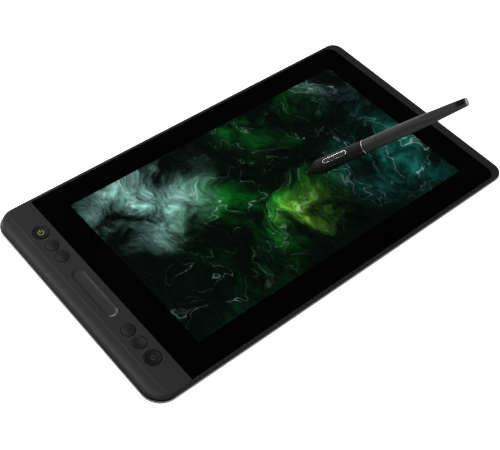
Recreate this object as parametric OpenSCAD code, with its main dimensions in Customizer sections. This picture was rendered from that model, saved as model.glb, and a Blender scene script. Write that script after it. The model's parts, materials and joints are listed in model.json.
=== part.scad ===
// Graphics tablet with a screen, a strip of keys and a pen.
// Millimetres, +Z up. The origin is under the middle of the tablet, on the surface it lies on.

/* [Screen] */
// Width of the lit picture
active_w = 293.8; // [260:0.1:310]
// Depth of the lit picture
active_d = 165.2; // [140:0.1:180]
// Dark border of the glass beside the picture, at each short side
glass_border_x = 23.65; // [15:0.05:35]
// Dark border of the glass beside the picture, at each long side
glass_border_y = 21.9; // [19:0.1:30]
// Thickness of the cover glass
glass_t = 1.1; // [0.7:0.1:1.4]
// Corner radius of the glass on the side away from the keys
glass_corner_r = 9; // [2:0.5:14]
// Thickness of the tape that holds the glass
tape_t = 0.3; // [0.1:0.05:0.5]
// Bare margin beside the tape
tape_margin = 1; // [0.5:0.1:2]
// Thickness of the display cell
cell_t = 1.1; // [0.8:0.1:1.4]
// Edge of the display cell outside the picture
cell_border = 2.6; // [2:0.1:4]
// Thickness of the light guide
guide_t = 0.9; // [0.5:0.1:1.2]
// Edge of the light guide outside the picture
guide_border = 1.2; // [0.8:0.1:1.4]
// Thickness of the reflector sheet
reflector_t = 0.2; // [0.1:0.05:0.4]
// Height of the LED bar
led_bar_h = 0.8; // [0.5:0.1:0.9]
// Width of the LED bar
led_bar_w = 1.1; // [0.6:0.1:1.2]
// Thickness of the panel tray
tray_t = 0.4; // [0.3:0.05:0.6]
// Thickness of the pen sensing board
digitizer_t = 0.6; // [0.4:0.1:0.9]
// Edge of the pen sensing board outside the picture
digitizer_border = 8.2; // [6:0.1:9]
// Thickness of the shield plate
shield_t = 0.3; // [0.2:0.05:0.5]
// Edge of the shield plate outside the picture
shield_border = 2.5; // [1:0.1:3]

/* [Case] */
// Width of the flat key strip
strip_w = 22.4; // [21:0.1:30]
// Width of the sloped edge beside the key strip
left_slope_w = 12.6; // [8:0.1:16]
// Width of the sloped edge on the other short side
right_rim_w = 9.5; // [6:0.1:14]
// Width of the rim along the long sides
long_rim_w = 2.9; // [2.5:0.1:5]
// Corner radius of the case beside the key strip
left_corner_r = 17; // [12:0.5:20]
// Corner radius of the case on the other short side
right_corner_r = 10; // [8:0.5:14]
// Corner radius of the crease round the flat top
crease_r = 9.5; // [6:0.5:14]
// Flat lip of the frame round the glass
frame_lip = 0.5; // [0.3:0.1:1]
// Height of the frame's sloped edge
frame_edge_h = 1.9; // [1.5:0.1:2.2]
// Straight foot of the frame's sloped edge
frame_edge_foot = 0.95; // [0.6:0.05:1.1]
// Drop of the sloped edge where it starts to fall faster
slope_knee_drop = 0.35; // [0.2:0.05:0.45]
// Thickness of the frame over the keys
strip_t = 1.6; // [1.2:0.1:1.8]
// Thickness of the frame's ledge under the glass
ledge_t = 1.4; // [1:0.1:1.6]
// Wall of the frame's skirt
skirt_t = 1.4; // [1:0.1:2]
// Wall of the frame between the strip and the glass
strip_wall = 1.5; // [1:0.1:2]
// Dark seam between the frame and the trim band
seam_h = 0.3; // [0.2:0.05:0.5]
// Height of the trim band
band_h = 2.2; // [1.6:0.1:2.4]
// Width of the trim band's section
band_w = 2.5; // [2:0.1:4]
// How far the trim band stands proud of the frame
band_proud = 0.4; // [0.2:0.05:0.8]
// Wall of the back cover
cover_t = 1.6; // [1.2:0.1:2]
// Inset of the back cover's top edge from the band
cover_top_inset = 0.5; // [0.3:0.1:1]
// Inset of the back cover halfway down
cover_mid_inset = 3.2; // [2.5:0.1:4]
// Inset of the back cover where it turns under
cover_low_inset = 6.6; // [5.5:0.1:7.5]
// Inset of the flat bottom
cover_bottom_inset = 10; // [9:0.1:10.5]
// Height above the bottom at which the cover turns under
cover_low_h = 1.3; // [0.8:0.1:1.8]
// Height above the bottom of the cover's middle bend
cover_mid_h = 4; // [3:0.1:5]

/* [Feet] */
// Height of the feet below the case
foot_h = 1; // [0.5:0.1:2]
// Depth of the feet's seats in the cover
foot_seat = 0.6; // [0.3:0.1:0.9]
// Distance of a foot strip's ends from the short sides of the case
foot_end = 42.8; // [20:0.1:90]
// Width of a foot strip
foot_w = 10; // [6:0.5:14]
// Distance of a foot strip's middle from the long side of the case
foot_inset = 29.4; // [26:0.1:45]

/* [Keys] */
// Radius of a plain key
key_r = 5.6; // [4.5:0.05:5.8]
// Radius of the power key
power_key_r = 6.75; // [5:0.05:7.2]
// Radius of the mode key
mode_key_r = 6.7; // [5:0.05:7.2]
// Distance of the power and mode keys from the long sides of the case
end_key_edge = 34.6; // [30:0.1:40]
// Room between the flanges of an end key and the plain key beside it
end_key_room = 2; // [0.5:0.05:3]
// Room between the flanges of neighbouring plain keys
key_room = 0.5; // [0.2:0.05:2]
// Room between a plain key's flange and the touch bar's slot
bar_key_room = 9.35; // [8:0.05:12]
// Gap round a key
key_gap = 0.3; // [0.2:0.05:0.4]
// How far a key stands above the strip
key_proud = 0.15; // [0:0.05:0.4]
// Height of the dome on a plain key
key_dome = 0.4; // [0.2:0.05:0.6]
// Flat rim round the dome or the sunk floor of a key
key_rim_w = 0.5; // [0.2:0.05:0.8]
// Depth of the dish in the last plain key, which has a dot instead of a dome
key_dish = 0.4; // [0.2:0.05:0.6]
// Depth of the sunk floor in the power and mode keys
end_key_dish = 0.3; // [0.2:0.05:0.5]
// Flat room round a sign, on the sunk floor of its key
sign_room = 0.9; // [0.5:0.1:1.5]
// Travel of a key
key_travel = 0.45; // [0.2:0.05:0.5]
// Width of the flange that keeps a key in
key_flange_w = 0.9; // [0.5:0.05:0.95]
// Thickness of the key's flange
key_flange_t = 0.6; // [0.4:0.05:0.8]
// Radius of the key's stem
key_stem_r = 1.5; // [0.8:0.1:2]
// Length of the key's stem
key_stem_len = 0.5; // [0.3:0.05:0.7]
// Radius of the raised dot on the last plain key
key_dot_r = 0.6; // [0.3:0.05:1]
// Height of the raised dot on the last plain key
key_dot_h = 0.2; // [0.1:0.05:0.3]
// Width of the touch bar's slot
bar_w = 11; // [6:0.1:12]
// Depth of the touch bar's slot
bar_depth = 1; // [0.6:0.1:1.2]
// Thickness of the touch bar's flange
bar_flange_t = 0.8; // [0.5:0.1:1]
// Width of the touch bar's flange
bar_flange_w = 1.3; // [0.8:0.1:1.6]
// Thickness of the touch bar's sensor
bar_sensor_t = 0.5; // [0.3:0.05:0.7]
// Width of the key board
key_board_w = 17; // [15:0.5:18]
// Thickness of the key board
key_board_t = 1; // [0.6:0.1:1.2]
// Length of the key board outside its last bosses
key_board_end = 3.5; // [2.5:0.1:5]
// Width of a key switch
switch_w = 4.5; // [3:0.1:5]
// Height of a key switch
switch_h = 0.5; // [0.4:0.05:0.6]
// Width of the LED under the power key
led_w = 1.6; // [1:0.1:2]
// Radius of the power sign
sign_r = 2.4; // [1.5:0.1:3.5]
// Width of the break in the power sign's circle
sign_break = 2.1; // [1.6:0.05:2.6]
// Radius of the mode sign
mode_sign_r = 1.95; // [1.5:0.05:3]
// Width of the signs' lines
sign_line = 0.5; // [0.3:0.05:1]
// Depth of the signs
sign_t = 0.3; // [0.2:0.05:0.5]

/* [Boards and screws] */
// Width of the main board
board_w = 92; // [70:1:95]
// Depth of the main board
board_d = 58; // [55:1:70]
// Thickness of the boards
board_t = 1; // [0.8:0.1:1.2]
// Height of the main board above the cover's inner floor
board_lift = 2; // [1.5:0.1:2.2]
// Distance of the main board's edge from the outside of the case
board_edge = 7.9; // [7.5:0.1:9]
// Width of a chip
chip_w = 12; // [6:0.5:14]
// Height of a chip
chip_h = 1.2; // [0.8:0.1:1.4]
// Gap between the chips and the shield plate
chip_gap = 1; // [0.6:0.1:2]
// Chips in the row on the main board
chip_count = 4; // [2:1:4]
// Thickness of the ribbons
ribbon_t = 0.2; // [0.1:0.05:0.25]
// Length of a ribbon's flat end
ribbon_foot = 5; // [3:0.5:6]
// Width of the display's ribbon
display_ribbon_w = 30; // [15:1:32]
// Width of the key ribbon and the sensing ribbon
key_ribbon_w = 8; // [5:0.5:12]
// Radius of the screw posts
post_r = 3; // [2.7:0.1:3.2]
// Height of the cover posts' tops above the bottom
post_h = 5.5; // [5:0.1:6]
// Thread radius of the cover screws
screw_r = 1; // [0.8:0.05:1.1]
// Head radius of the cover screws
screw_head_r = 1.9; // [1.5:0.05:2]
// Head height of the cover screws
screw_head_h = 1.2; // [0.8:0.1:1.4]
// Depth of the seats of the cover screws' heads
screw_sink = 2.4; // [1.6:0.1:2.8]
// Radius of the small posts under the boards
small_post_r = 2; // [1.8:0.1:2.2]
// Thread radius of the board screws
small_screw_r = 0.9; // [0.6:0.05:1]
// Head radius of the board screws
small_head_r = 1.7; // [1.4:0.05:1.8]
// Head height of the board screws
small_head_h = 0.8; // [0.5:0.1:1]
// Width of the cross in the screw heads
cross_w = 0.5; // [0.3:0.05:0.7]

/* [Sockets] */
// Width of a USB-C socket
socket_w = 8.94; // [8.9:0.01:9.2]
// Height of a USB-C socket
socket_h = 3.26; // [3.2:0.01:3.4]
// Depth of a USB-C socket
socket_d = 7.4; // [6:0.1:8]
// Wall of a USB-C socket
socket_wall = 0.3; // [0.25:0.01:0.35]
// Thickness of the tongue in a USB-C socket
tongue_t = 0.7; // [0.6:0.05:0.8]
// Width of the tongue in a USB-C socket
tongue_w = 6.7; // [6:0.1:6.9]
// Distance of the tongue's tip from the socket's mouth
tongue_back = 2; // [1:0.1:2.5]
// Distance between the two sockets
socket_pitch = 28; // [16:1:40]
// Distance of the sockets' mouths from the outside of the case
socket_inset = 3.8; // [3.5:0.1:4.4]

/* [Pen] */
// Length of the pen
pen_len = 150; // [148:0.5:170]
// Nib's place along the screen, from its middle
pen_x = 34.6; // [-60:0.1:40]
// Nib's place across the screen, from its middle
pen_y = -4.9; // [-10:0.1:40]
// Tilt of the pen above the screen
pen_tilt = 40.7; // [30:0.1:60]
// Direction in which the pen leans
pen_turn = -43.3; // [-60:0.1:-20]
// Turn of the pen about its own length
pen_roll = 23.5; // [0:0.5:45]
// Gap between the nib and the glass
nib_clear = 0.15; // [0.1:0.05:0.3]
// Radius of the nib
nib_r = 0.8; // [0.5:0.05:0.9]
// Length of nib that shows
nib_show = 2.2; // [1.5:0.1:3]
// How far the nib reaches into the carrier
nib_reach = 2.2; // [1:0.1:3]
// Travel of the nib
nib_travel = 0.5; // [0.2:0.05:0.6]
// Radial gap round the nib
nib_gap = 0.15; // [0.1:0.05:0.2]
// Radius of the cone at its front
cone_front_r = 1.3; // [1.15:0.05:1.6]
// Where the cone ends and the grip starts
cone_end = 9; // [7:0.1:9.5]
// Radius where the cone meets the grip
cone_end_r = 4.7; // [4.2:0.05:5]
// Radius of the cone's plug in the grip
cone_plug_r = 3.4; // [3:0.05:3.6]
// Length of the cone's plug in the grip
cone_plug_len = 4; // [3:0.1:4.2]
// Where the grip is widest
shoulder_at = 15.5; // [14:0.1:17]
// Greatest radius of the grip
shoulder_r = 6.75; // [6.4:0.05:7.2]
// Where the grip ends
grip_end = 57; // [56:0.5:62]
// Radius of the grip where it ends
grip_end_r = 6.05; // [5.9:0.05:6.3]
// Wall of the grip at its thinnest
grip_wall = 1.25; // [1:0.05:1.4]
// Radius of the grip's spigot in the barrel
spigot_r = 4.6; // [4.2:0.05:4.8]
// Length of the grip's spigot in the barrel
spigot_len = 8; // [5:0.5:10]
// Width of the bright ring
ring_w = 1; // [0.6:0.1:2]
// How far the bright ring stands proud
ring_proud = 0.08; // [0:0.02:0.2]
// Radius of the barrel at its tail
tail_r = 3.5; // [3.3:0.05:4.5]
// Radius of the barrel's bore
barrel_bore_r = 3.4; // [3.2:0.05:3.6]
// Solid length at the barrel's tail
barrel_solid = 32; // [30:1:40]
// Height of the flat facet above the axis at the tail
facet_h = 2.3; // [2:0.05:2.8]
// Slope of the flat facet
facet_slope = 3.74; // [3.2:0.02:4.2]
// Thickness of the end cap
end_cap_t = 1; // [0.6:0.1:2]
// Radius of the end cap's peg
end_peg_r = 1; // [0.6:0.05:1.2]
// Length of the end cap's peg
end_peg_len = 3; // [2:0.1:5]
// Distance of the oval pad's middle from the tail
tail_pad_at = 5.6; // [5:0.1:9]
// Length of the oval pad
tail_pad_len = 7.6; // [6:0.1:8]
// Width of the oval pad
tail_pad_w = 4.3; // [3:0.1:4.4]
// Thickness of the oval pad
tail_pad_t = 0.7; // [0.4:0.05:0.8]
// Distance of the small dimple from the bright ring
dimple_back = 13; // [10:0.5:22]
// Radius of the ball that cuts the dimple
dimple_ball_r = 1.5; // [1:0.1:2]
// Depth of the dimple
dimple_depth = 0.35; // [0.1:0.05:0.5]
// Distance of the rocker's middle from the front of the carrier
rocker_back = 9; // [8:0.5:11]
// Length of the rocker
rocker_len = 21.2; // [18:0.1:22]
// Width of the rocker
rocker_w = 2.9; // [2.4:0.05:3.1]
// How far the rocker stands proud of the grip
rocker_proud = 0.35; // [0.1:0.05:0.5]
// Gap round the rocker
rocker_gap = 0.22; // [0.2:0.01:0.3]
// Width of the rocker's bright outline
rocker_trim_w = 0.55; // [0.4:0.05:0.6]
// How far the rocker's outline stands proud of the grip
rocker_trim_proud = 0.15; // [0.05:0.05:0.3]
// Depth of the rocker's outline in the grip
rocker_trim_t = 1; // [0.6:0.05:1.1]
// Height of the rocker's underside above the axis
rocker_under = 4.75; // [4.7:0.05:4.9]
// Height of the rocker's pin above the axis
rocker_pin_h = 4.6; // [4.5:0.05:4.7]
// Radius of the rocker's pin
rocker_pin_r = 0.45; // [0.3:0.05:0.5]
// Wall of the rocker's lug under the pin
lug_wall = 0.45; // [0.3:0.05:0.6]
// Wall of the ears under the pin
ear_wall = 0.7; // [0.4:0.05:0.8]
// Length of the rocker's lug along the pen
rocker_lug_len = 3; // [2.4:0.1:4]
// Length of the ears that hold the rocker's pin
ear_len = 2.4; // [1.8:0.1:3]
// Distance of the pen's switches from the rocker's pin
pen_switch_at = 6; // [5:0.1:8]
// Width of a pen switch
pen_switch_w = 2.6; // [2:0.1:3]
// Radius of a pen switch's plunger
plunger_r = 0.6; // [0.4:0.05:0.8]
// Gap between a plunger and the rocker
plunger_gap = 0.45; // [0.4:0.05:0.6]
// Length of a plunger
plunger_len = 0.5; // [0.3:0.05:0.7]
// Height of the pen board's underside above the axis
pen_board_h = 1.4; // [1.2:0.05:1.5]
// Gap between the pen board's edges and the barrel's bore
pen_board_gap = 0.2; // [0.1:0.05:0.5]
// Thickness of the pen board
pen_board_t = 0.8; // [0.6:0.05:0.9]
// Gap between the pen board and the end of the barrel's bore
pen_board_back = 13; // [5:0.5:30]
// Radius of the ferrite core
ferrite_r = 2.4; // [1.8:0.1:2.6]
// Length of the ferrite core
ferrite_len = 9.6; // [8:0.1:9.7]
// Thickness of the coil
coil_t = 1.3; // [0.8:0.1:1.5]
// Bare length of the core at each end of the coil
coil_margin = 0.8; // [0.4:0.1:1.5]
// Gap between the cone's plug and the ferrite core
core_gap = 0.4; // [0.2:0.05:0.6]
// Length of the force sensor
force_len = 4; // [3:0.1:5]
// Radius of the force sensor
force_r = 1.3; // [1:0.05:1.35]

/* [Fits] */
// Fit between pieces that are glued, clipped or screwed
fit = 0.05; // [0.02:0.01:0.1]
// Fit round the glass and the touch bar
seat_gap = 0.15; // [0.1:0.05:0.2]
// Gap between the panel and what is round it
panel_gap = 0.3; // [0.2:0.05:0.4]
// Gap between the tray and the frame's window
tray_gap = 0.5; // [0.3:0.05:1]
// Gap between boards and posts
part_gap = 0.8; // [0.5:0.05:1]
// Running clearance of the rocker on its pin
pin_clear = 0.05; // [0.02:0.01:0.08]
// Room left under a pressed key or nib
press_spare = 0.1; // [0.05:0.05:0.15]

/* [Hidden] */
$fn = 64;
// thin slab that carries an outline into a hull, and overlap of cuts
skin = 0.02;
over = 1;

// plan of the case
glass_w = active_w + 2 * glass_border_x;
glass_d = active_d + 2 * glass_border_y;
body_w = left_slope_w + strip_w + glass_w + right_rim_w;
body_d = glass_d + 2 * long_rim_w;
crease_x = -body_w / 2 + left_slope_w;
glass_x0 = crease_x + strip_w;
glass_x1 = glass_x0 + glass_w;
screen_x = (glass_x0 + glass_x1) / 2;
key_x = crease_x + strip_w / 2;
foot_len = body_w - 2 * foot_end;
foot_y = body_d / 2 - foot_inset;

// levels from the top down
stack_h = glass_t + cell_t + guide_t + reflector_t + tray_t + digitizer_t + shield_t;
body_h = stack_h + chip_gap + chip_h + board_t + board_lift + cover_t;
top_z = foot_h + body_h;
glass_z = top_z - glass_t;
ledge_z = glass_z - tape_t;
ledge_bottom = ledge_z - ledge_t;
edge_z = top_z - frame_edge_h;
strip_z = top_z - strip_t;
cap_top = top_z + key_proud;
band_top = edge_z - seam_h;
band_bottom = band_top - band_h;
cell_z = glass_z - cell_t;
guide_z = cell_z - guide_t;
reflector_z = guide_z - reflector_t;
tray_z = reflector_z - tray_t;
digitizer_z = tray_z - digitizer_t;
shield_z = digitizer_z - shield_t;

// levels from the bottom up
inner_floor = foot_h + cover_t;
post_z = foot_h + post_h;
board_z = inner_floor + board_lift;
board_top = board_z + board_t;
socket_z = board_top + socket_h / 2;

// sizes of the stack under the glass
cell_w = active_w + 2 * cell_border;
cell_d = active_d + 2 * cell_border;
guide_w = active_w + 2 * guide_border;
guide_d = active_d + 2 * guide_border;
tray_in_w = cell_w + 2 * panel_gap;
tray_in_d = cell_d + 2 * panel_gap;
tray_w = tray_in_w + 2 * tray_t;
tray_d = tray_in_d + 2 * tray_t;
window_w = tray_w + 2 * tray_gap;
window_d = tray_d + 2 * tray_gap;
digitizer_w = active_w + 2 * digitizer_border;
digitizer_d = active_d + 2 * digitizer_border;

// keys and key board
skirt_inset = band_w + fit;
end_key_r = max(power_key_r, mode_key_r);
end_key_y = body_d / 2 - end_key_edge;
outer_key_y = end_key_y - end_key_r - key_r - 2 * key_flange_w - end_key_room;
inner_key_y = outer_key_y - 2 * (key_r + key_flange_w) - key_room;
key_ys = [end_key_y, outer_key_y, inner_key_y, -inner_key_y, -outer_key_y, -end_key_y];
last_key = 4;
bar_len = 2 * (inner_key_y - key_r - key_flange_w - bar_key_room);
bar_flange_len = bar_len + 2 * bar_flange_w;
key_boss_in = bar_flange_len / 2 + part_gap + small_post_r;
key_boss_out = end_key_y + end_key_r + key_flange_w + part_gap + small_post_r;
key_boss_ys = [-key_boss_out, -key_boss_in, key_boss_in, key_boss_out];
key_board_d = 2 * (key_boss_out + key_board_end);
key_stack = key_flange_t + key_travel + press_spare + switch_h;
key_board_top = strip_z - fit - key_stack - key_stem_len;
key_board_z = key_board_top - key_board_t;
led_offset = switch_w / 2 + led_w;

// screws and main board
post_y = digitizer_d / 2 + part_gap + post_r;
post_x1 = screen_x + digitizer_w / 2 + part_gap + post_r;
post_columns = 4;
post_step = (post_x1 - key_x) / (post_columns - 1);
post_xs = [for (i = [0 : post_columns - 1]) key_x + i * post_step];
board_cx = (post_xs[post_columns - 2] + post_xs[post_columns - 1]) / 2;
board_y1 = body_d / 2 - board_edge;
board_cy = board_y1 - board_d / 2;
board_hole_x = board_w / 2 - small_post_r - part_gap;
board_hole_y = board_d / 2 - small_post_r - part_gap;
chip_pitch = (board_w / 2 + board_hole_x) / (chip_count + 1);
chip_y = board_cy - board_d / 6;
display_ribbon_y = tray_d / 2 + 2 * part_gap;
display_ribbon_x = board_cx - board_w / 5;
sensing_ribbon_x = board_cx + board_w / 4;
key_ribbon_y = board_cy - board_d / 16;

// pen stations, measured from the nib's point
ring_at = grip_end;
barrel_at = ring_at + ring_w;
barrel_end = pen_len - end_cap_t;
grip_bore_r = grip_end_r - grip_wall;
bore_end = grip_end - spigot_len / 4;
carrier_at = cone_end + cone_plug_len + core_gap + ferrite_len;
front_bore_end = carrier_at - ferrite_len - fit;
nib_len = carrier_at + nib_reach;
rocker_at = carrier_at + rocker_back;
dimple_at = barrel_at + dimple_back;
force_at = nib_len + nib_travel + 2 * press_spare;
taper = (grip_end_r - tail_r) / pow(pen_len - barrel_at, 2);
taper_steps = 12;
shoulder_steps = 4;
stadium_c = (rocker_len - rocker_w) / 2;
trim_in_r = rocker_w / 2 + rocker_gap;
trim_out_r = trim_in_r + rocker_trim_w;
plunger_top = rocker_under - plunger_gap;
pen_board_top = pen_board_h + pen_board_t;
pen_board_w = 2 * sqrt(pow(barrel_bore_r - pen_board_gap, 2) - pow(pen_board_top, 2));
pen_board_end = pen_len - barrel_solid - pen_board_back;
function barrel_r(s) = grip_end_r - taper * pow(s - barrel_at, 2);
function front_r(t) = cone_end_r + (shoulder_r - cone_end_r) * sin(90 * t);

// flat outlines

module rounded(x0, x1, d, left_r, right_r) {
    translate([x0 + left_r, -d / 2]) square([x1 - x0 - left_r - right_r, d]);
    translate([x0, left_r - d / 2]) square([2 * left_r, d - 2 * left_r]);
    translate([x1 - 2 * right_r, right_r - d / 2]) square([2 * right_r, d - 2 * right_r]);
    for (y = [-1, 1]) {
        translate([x0 + left_r, y * (d / 2 - left_r)]) circle(left_r);
        translate([x1 - right_r, y * (d / 2 - right_r)]) circle(right_r);
    }
}

module case_outline(inset) {
    rounded(-body_w / 2 + inset, body_w / 2 - inset, body_d - 2 * inset, left_corner_r, right_corner_r);
}

module glass_outline(grow) {
    r = glass_corner_r + grow;
    rounded(glass_x0 + r - grow, glass_x1 + grow, glass_d + 2 * grow, r, r);
    translate([glass_x0 - grow, -glass_d / 2 - grow]) square([2 * r, glass_d + 2 * grow]);
}

module stadium(len, w) {
    square([len - w, w], center = true);
    for (x = [-1, 1]) translate([x * (len - w) / 2, 0]) circle(d = w);
}

module on_screen(w, d, z, h) {
    translate([screen_x - w / 2, -d / 2, z]) cube([w, d, h]);
}

module slab(z) {
    $fn = 32;
    translate([0, 0, z]) linear_extrude(skin) children();
}

// screws, seen with the head below and the thread above

module screw(head_r, head_h, thread_r, len) {
    cross_half = 0.7 * head_r;
    difference() {
        union() {
            cylinder(r = head_r, h = head_h);
            translate([0, 0, head_h]) cylinder(r = thread_r, h = len);
        }
        for (a = [0, 90]) rotate(a)
            translate([-cross_half, -cross_w / 2, -over]) cube([2 * cross_half, cross_w, over + head_h / 2]);
    }
}

// the case

module frame_body() {
    knee = 0.6;
    x0 = -body_w / 2 + band_proud;
    x1 = body_w / 2 - band_proud;
    d = body_d - 2 * band_proud;
    top_x1 = glass_x1 + frame_lip;
    top_d = glass_d + 2 * frame_lip;
    knee_x0 = crease_x + (x0 - crease_x) * knee;
    hull() {
        slab(top_z - skin) rounded(crease_x, top_x1, top_d, crease_r, crease_r);
        slab(top_z - slope_knee_drop) rounded(knee_x0, x1, d, left_corner_r, right_corner_r);
        translate([0, 0, edge_z]) linear_extrude(frame_edge_foot, $fn = 32)
            rounded(x0, x1, d, left_corner_r, right_corner_r);
    }
}

module strip_cavity() {
    x0 = -body_w / 2 + skirt_inset + skirt_t;
    translate([0, 0, ledge_bottom - over]) linear_extrude(strip_z - ledge_bottom + over)
        rounded(x0, glass_x0 - strip_wall, body_d - 2 * skirt_inset - 2 * skirt_t,
            left_corner_r - skirt_t, skirt_t);
}

module front_frame() {
    color([0.2, 0.2, 0.21]) difference() {
        union() {
            difference() {
                union() {
                    frame_body();
                    translate([0, 0, ledge_bottom]) linear_extrude(edge_z - ledge_bottom + frame_edge_foot)
                        case_outline(skirt_inset);
                }
                strip_cavity();
            }
            for (x = post_xs, y = [-post_y, post_y])
                translate([x, y, post_z]) cylinder(r = post_r, h = ledge_z - post_z);
            for (y = key_boss_ys)
                translate([key_x, y, key_board_top])
                    cylinder(r = small_post_r, h = strip_z - key_board_top + skin);
        }
        translate([0, 0, ledge_z]) linear_extrude(top_z - ledge_z + over) glass_outline(seat_gap);
        on_screen(window_w, window_d, ledge_bottom - over, top_z);
        for (x = post_xs, y = [-post_y, post_y])
            translate([x, y, post_z - over]) cylinder(r = screw_r + fit, h = ledge_bottom - post_z + over);
        for (y = key_boss_ys)
            translate([key_x, y, key_board_top - over])
                cylinder(r = small_screw_r + fit, h = strip_z - key_board_top + over);
        for (i = [0 : len(key_ys) - 1])
            translate([key_x, key_ys[i], ledge_bottom]) cylinder(r = cap_r(i) + key_gap, h = top_z);
        translate([key_x, 0, ledge_bottom]) linear_extrude(top_z) rotate(90) stadium(bar_len, bar_w);
    }
}

module cover_glass() {
    color([0.02, 0.03, 0.03]) translate([0, 0, glass_z]) linear_extrude(glass_t) glass_outline(0);
}

module glass_tape() {
    color([0.1, 0.1, 0.1]) difference() {
        translate([0, 0, ledge_z]) linear_extrude(tape_t) glass_outline(-tape_margin);
        on_screen(window_w + 2 * tape_margin, window_d + 2 * tape_margin, ledge_z - over, 3 * over);
    }
}

module trim_band() {
    color([0.78, 0.79, 0.8]) difference() {
        translate([0, 0, band_bottom]) linear_extrude(band_h) difference() {
            case_outline(0);
            case_outline(band_w);
        }
        socket_mouths();
    }
}

module cover_body(wall) {
    hull() {
        slab(band_bottom - skin + wall) case_outline(cover_top_inset + wall);
        slab(foot_h + cover_mid_h) case_outline(cover_mid_inset + wall);
        slab(foot_h + max(cover_low_h, wall)) case_outline(cover_low_inset + wall);
        slab(foot_h + wall) case_outline(cover_bottom_inset + wall);
    }
}

module at_socket(side) {
    translate([board_cx + side * socket_pitch / 2, body_d / 2 - socket_inset, socket_z])
        rotate([90, 0, 0]) children();
}

module socket_mouths() {
    for (side = [-1, 1]) at_socket(side) translate([0, 0, -2 * socket_inset])
        linear_extrude(2 * socket_inset + socket_d / 2)
            stadium(socket_w + 2 * seat_gap, socket_h + 2 * seat_gap);
}

module back_cover() {
    color([0.16, 0.16, 0.17]) difference() {
        union() {
            difference() {
                cover_body(0);
                cover_body(cover_t);
            }
            for (x = post_xs, y = [-post_y, post_y])
                translate([x, y, inner_floor - skin]) cylinder(r = post_r, h = post_z - inner_floor + skin);
            for (x = [-board_hole_x, board_hole_x], y = [-board_hole_y, board_hole_y])
                translate([board_cx + x, board_cy + y, inner_floor - skin])
                    cylinder(r = small_post_r, h = board_lift + skin);
        }
        for (x = post_xs, y = [-post_y, post_y]) translate([x, y, 0]) {
            cylinder(r = screw_r + fit, h = top_z);
            cylinder(r = screw_head_r + fit, h = foot_h + screw_sink);
        }
        for (x = [-board_hole_x, board_hole_x], y = [-board_hole_y, board_hole_y])
            translate([board_cx + x, board_cy + y, inner_floor]) cylinder(r = small_screw_r + fit, h = top_z);
        for (y = [-foot_y, foot_y]) foot_solid(y, fit);
        socket_mouths();
    }
}

module cover_screws() {
    color([0.3, 0.3, 0.3]) for (x = post_xs, y = [-post_y, post_y])
        translate([x, y, foot_h + screw_sink - screw_head_h])
            screw(screw_head_r, screw_head_h, screw_r, ledge_bottom - over / 2 - foot_h - screw_sink);
}

module foot_solid(y, grow) {
    translate([0, y, 0]) linear_extrude(foot_h + foot_seat) stadium(foot_len + 2 * grow, foot_w + 2 * grow);
}

module front_foot() {
    color([0.05, 0.05, 0.05]) foot_solid(-foot_y, 0);
}

module rear_foot() {
    color([0.05, 0.05, 0.05]) foot_solid(foot_y, 0);
}

// the screen's stack

module lcd_cell() {
    color([0.1, 0.2, 0.2]) on_screen(cell_w, cell_d, cell_z, cell_t);
}

module light_guide() {
    color([0.9, 0.95, 0.95]) on_screen(guide_w, guide_d, guide_z, guide_t);
}

module reflector_sheet() {
    color([0.95, 0.95, 0.95]) on_screen(guide_w, guide_d, reflector_z, reflector_t);
}

module led_bar() {
    gap = (tray_in_d - guide_d) / 2 - led_bar_w;
    color([1, 0.95, 0.7]) translate([screen_x - guide_w / 2, -guide_d / 2 - gap / 2 - led_bar_w, reflector_z])
        cube([guide_w, led_bar_w, led_bar_h]);
}

module panel_tray() {
    wall_top = cell_z + cell_t / 2;
    color([0.7, 0.7, 0.72]) difference() {
        on_screen(tray_w, tray_d, tray_z, wall_top - tray_z);
        on_screen(tray_in_w, tray_in_d, reflector_z, top_z);
    }
}

module digitizer_board() {
    notch_y = tray_d / 2 - ribbon_foot;
    color([0.1, 0.35, 0.2]) difference() {
        on_screen(digitizer_w, digitizer_d, digitizer_z, digitizer_t);
        translate([display_ribbon_x - display_ribbon_w / 2 - part_gap, notch_y, digitizer_z - over])
            cube([display_ribbon_w + 2 * part_gap, digitizer_d, digitizer_t + 2 * over]);
    }
}

module shield_plate() {
    color([0.75, 0.75, 0.77])
        on_screen(active_w + 2 * shield_border, active_d + 2 * shield_border, shield_z, shield_t);
}

// boards and ribbons

module main_board() {
    color([0.05, 0.3, 0.15]) difference() {
        translate([board_cx - board_w / 2, board_cy - board_d / 2, board_z])
            cube([board_w, board_d, board_t]);
        for (x = [-board_hole_x, board_hole_x], y = [-board_hole_y, board_hole_y])
            translate([board_cx + x, board_cy + y, board_z - over])
                cylinder(r = small_screw_r + fit, h = board_t + 2 * over);
    }
}

module main_board_chips() {
    color([0.08, 0.08, 0.08]) for (i = [1 : chip_count])
        translate([board_cx - board_hole_x + i * chip_pitch - chip_w / 2, chip_y - chip_w / 2, board_top])
            cube([chip_w, chip_w, chip_h]);
}

module board_screws() {
    color([0.7, 0.7, 0.7]) for (x = [-board_hole_x, board_hole_x], y = [-board_hole_y, board_hole_y])
        translate([board_cx + x, board_cy + y, board_top + small_head_h]) rotate([180, 0, 0])
            screw(small_head_r, small_head_h, small_screw_r, board_t + board_lift - over / 2);
}

// a ribbon that leaves a surface at z1, drops at y1 and lies on the main board
module drop_ribbon(x, w, y1, z1) {
    translate([x - w / 2, y1 - ribbon_foot, board_top]) cube([w, ribbon_foot, ribbon_t]);
    translate([x - w / 2, y1 - ribbon_t, board_top]) cube([w, ribbon_t, z1 - board_top]);
    translate([x - w / 2, y1 - ribbon_foot / 2, z1 - ribbon_t]) cube([w, ribbon_foot / 2, ribbon_t]);
}

module display_ribbon() {
    color([0.85, 0.6, 0.2]) drop_ribbon(display_ribbon_x, display_ribbon_w, display_ribbon_y, tray_z);
}

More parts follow.
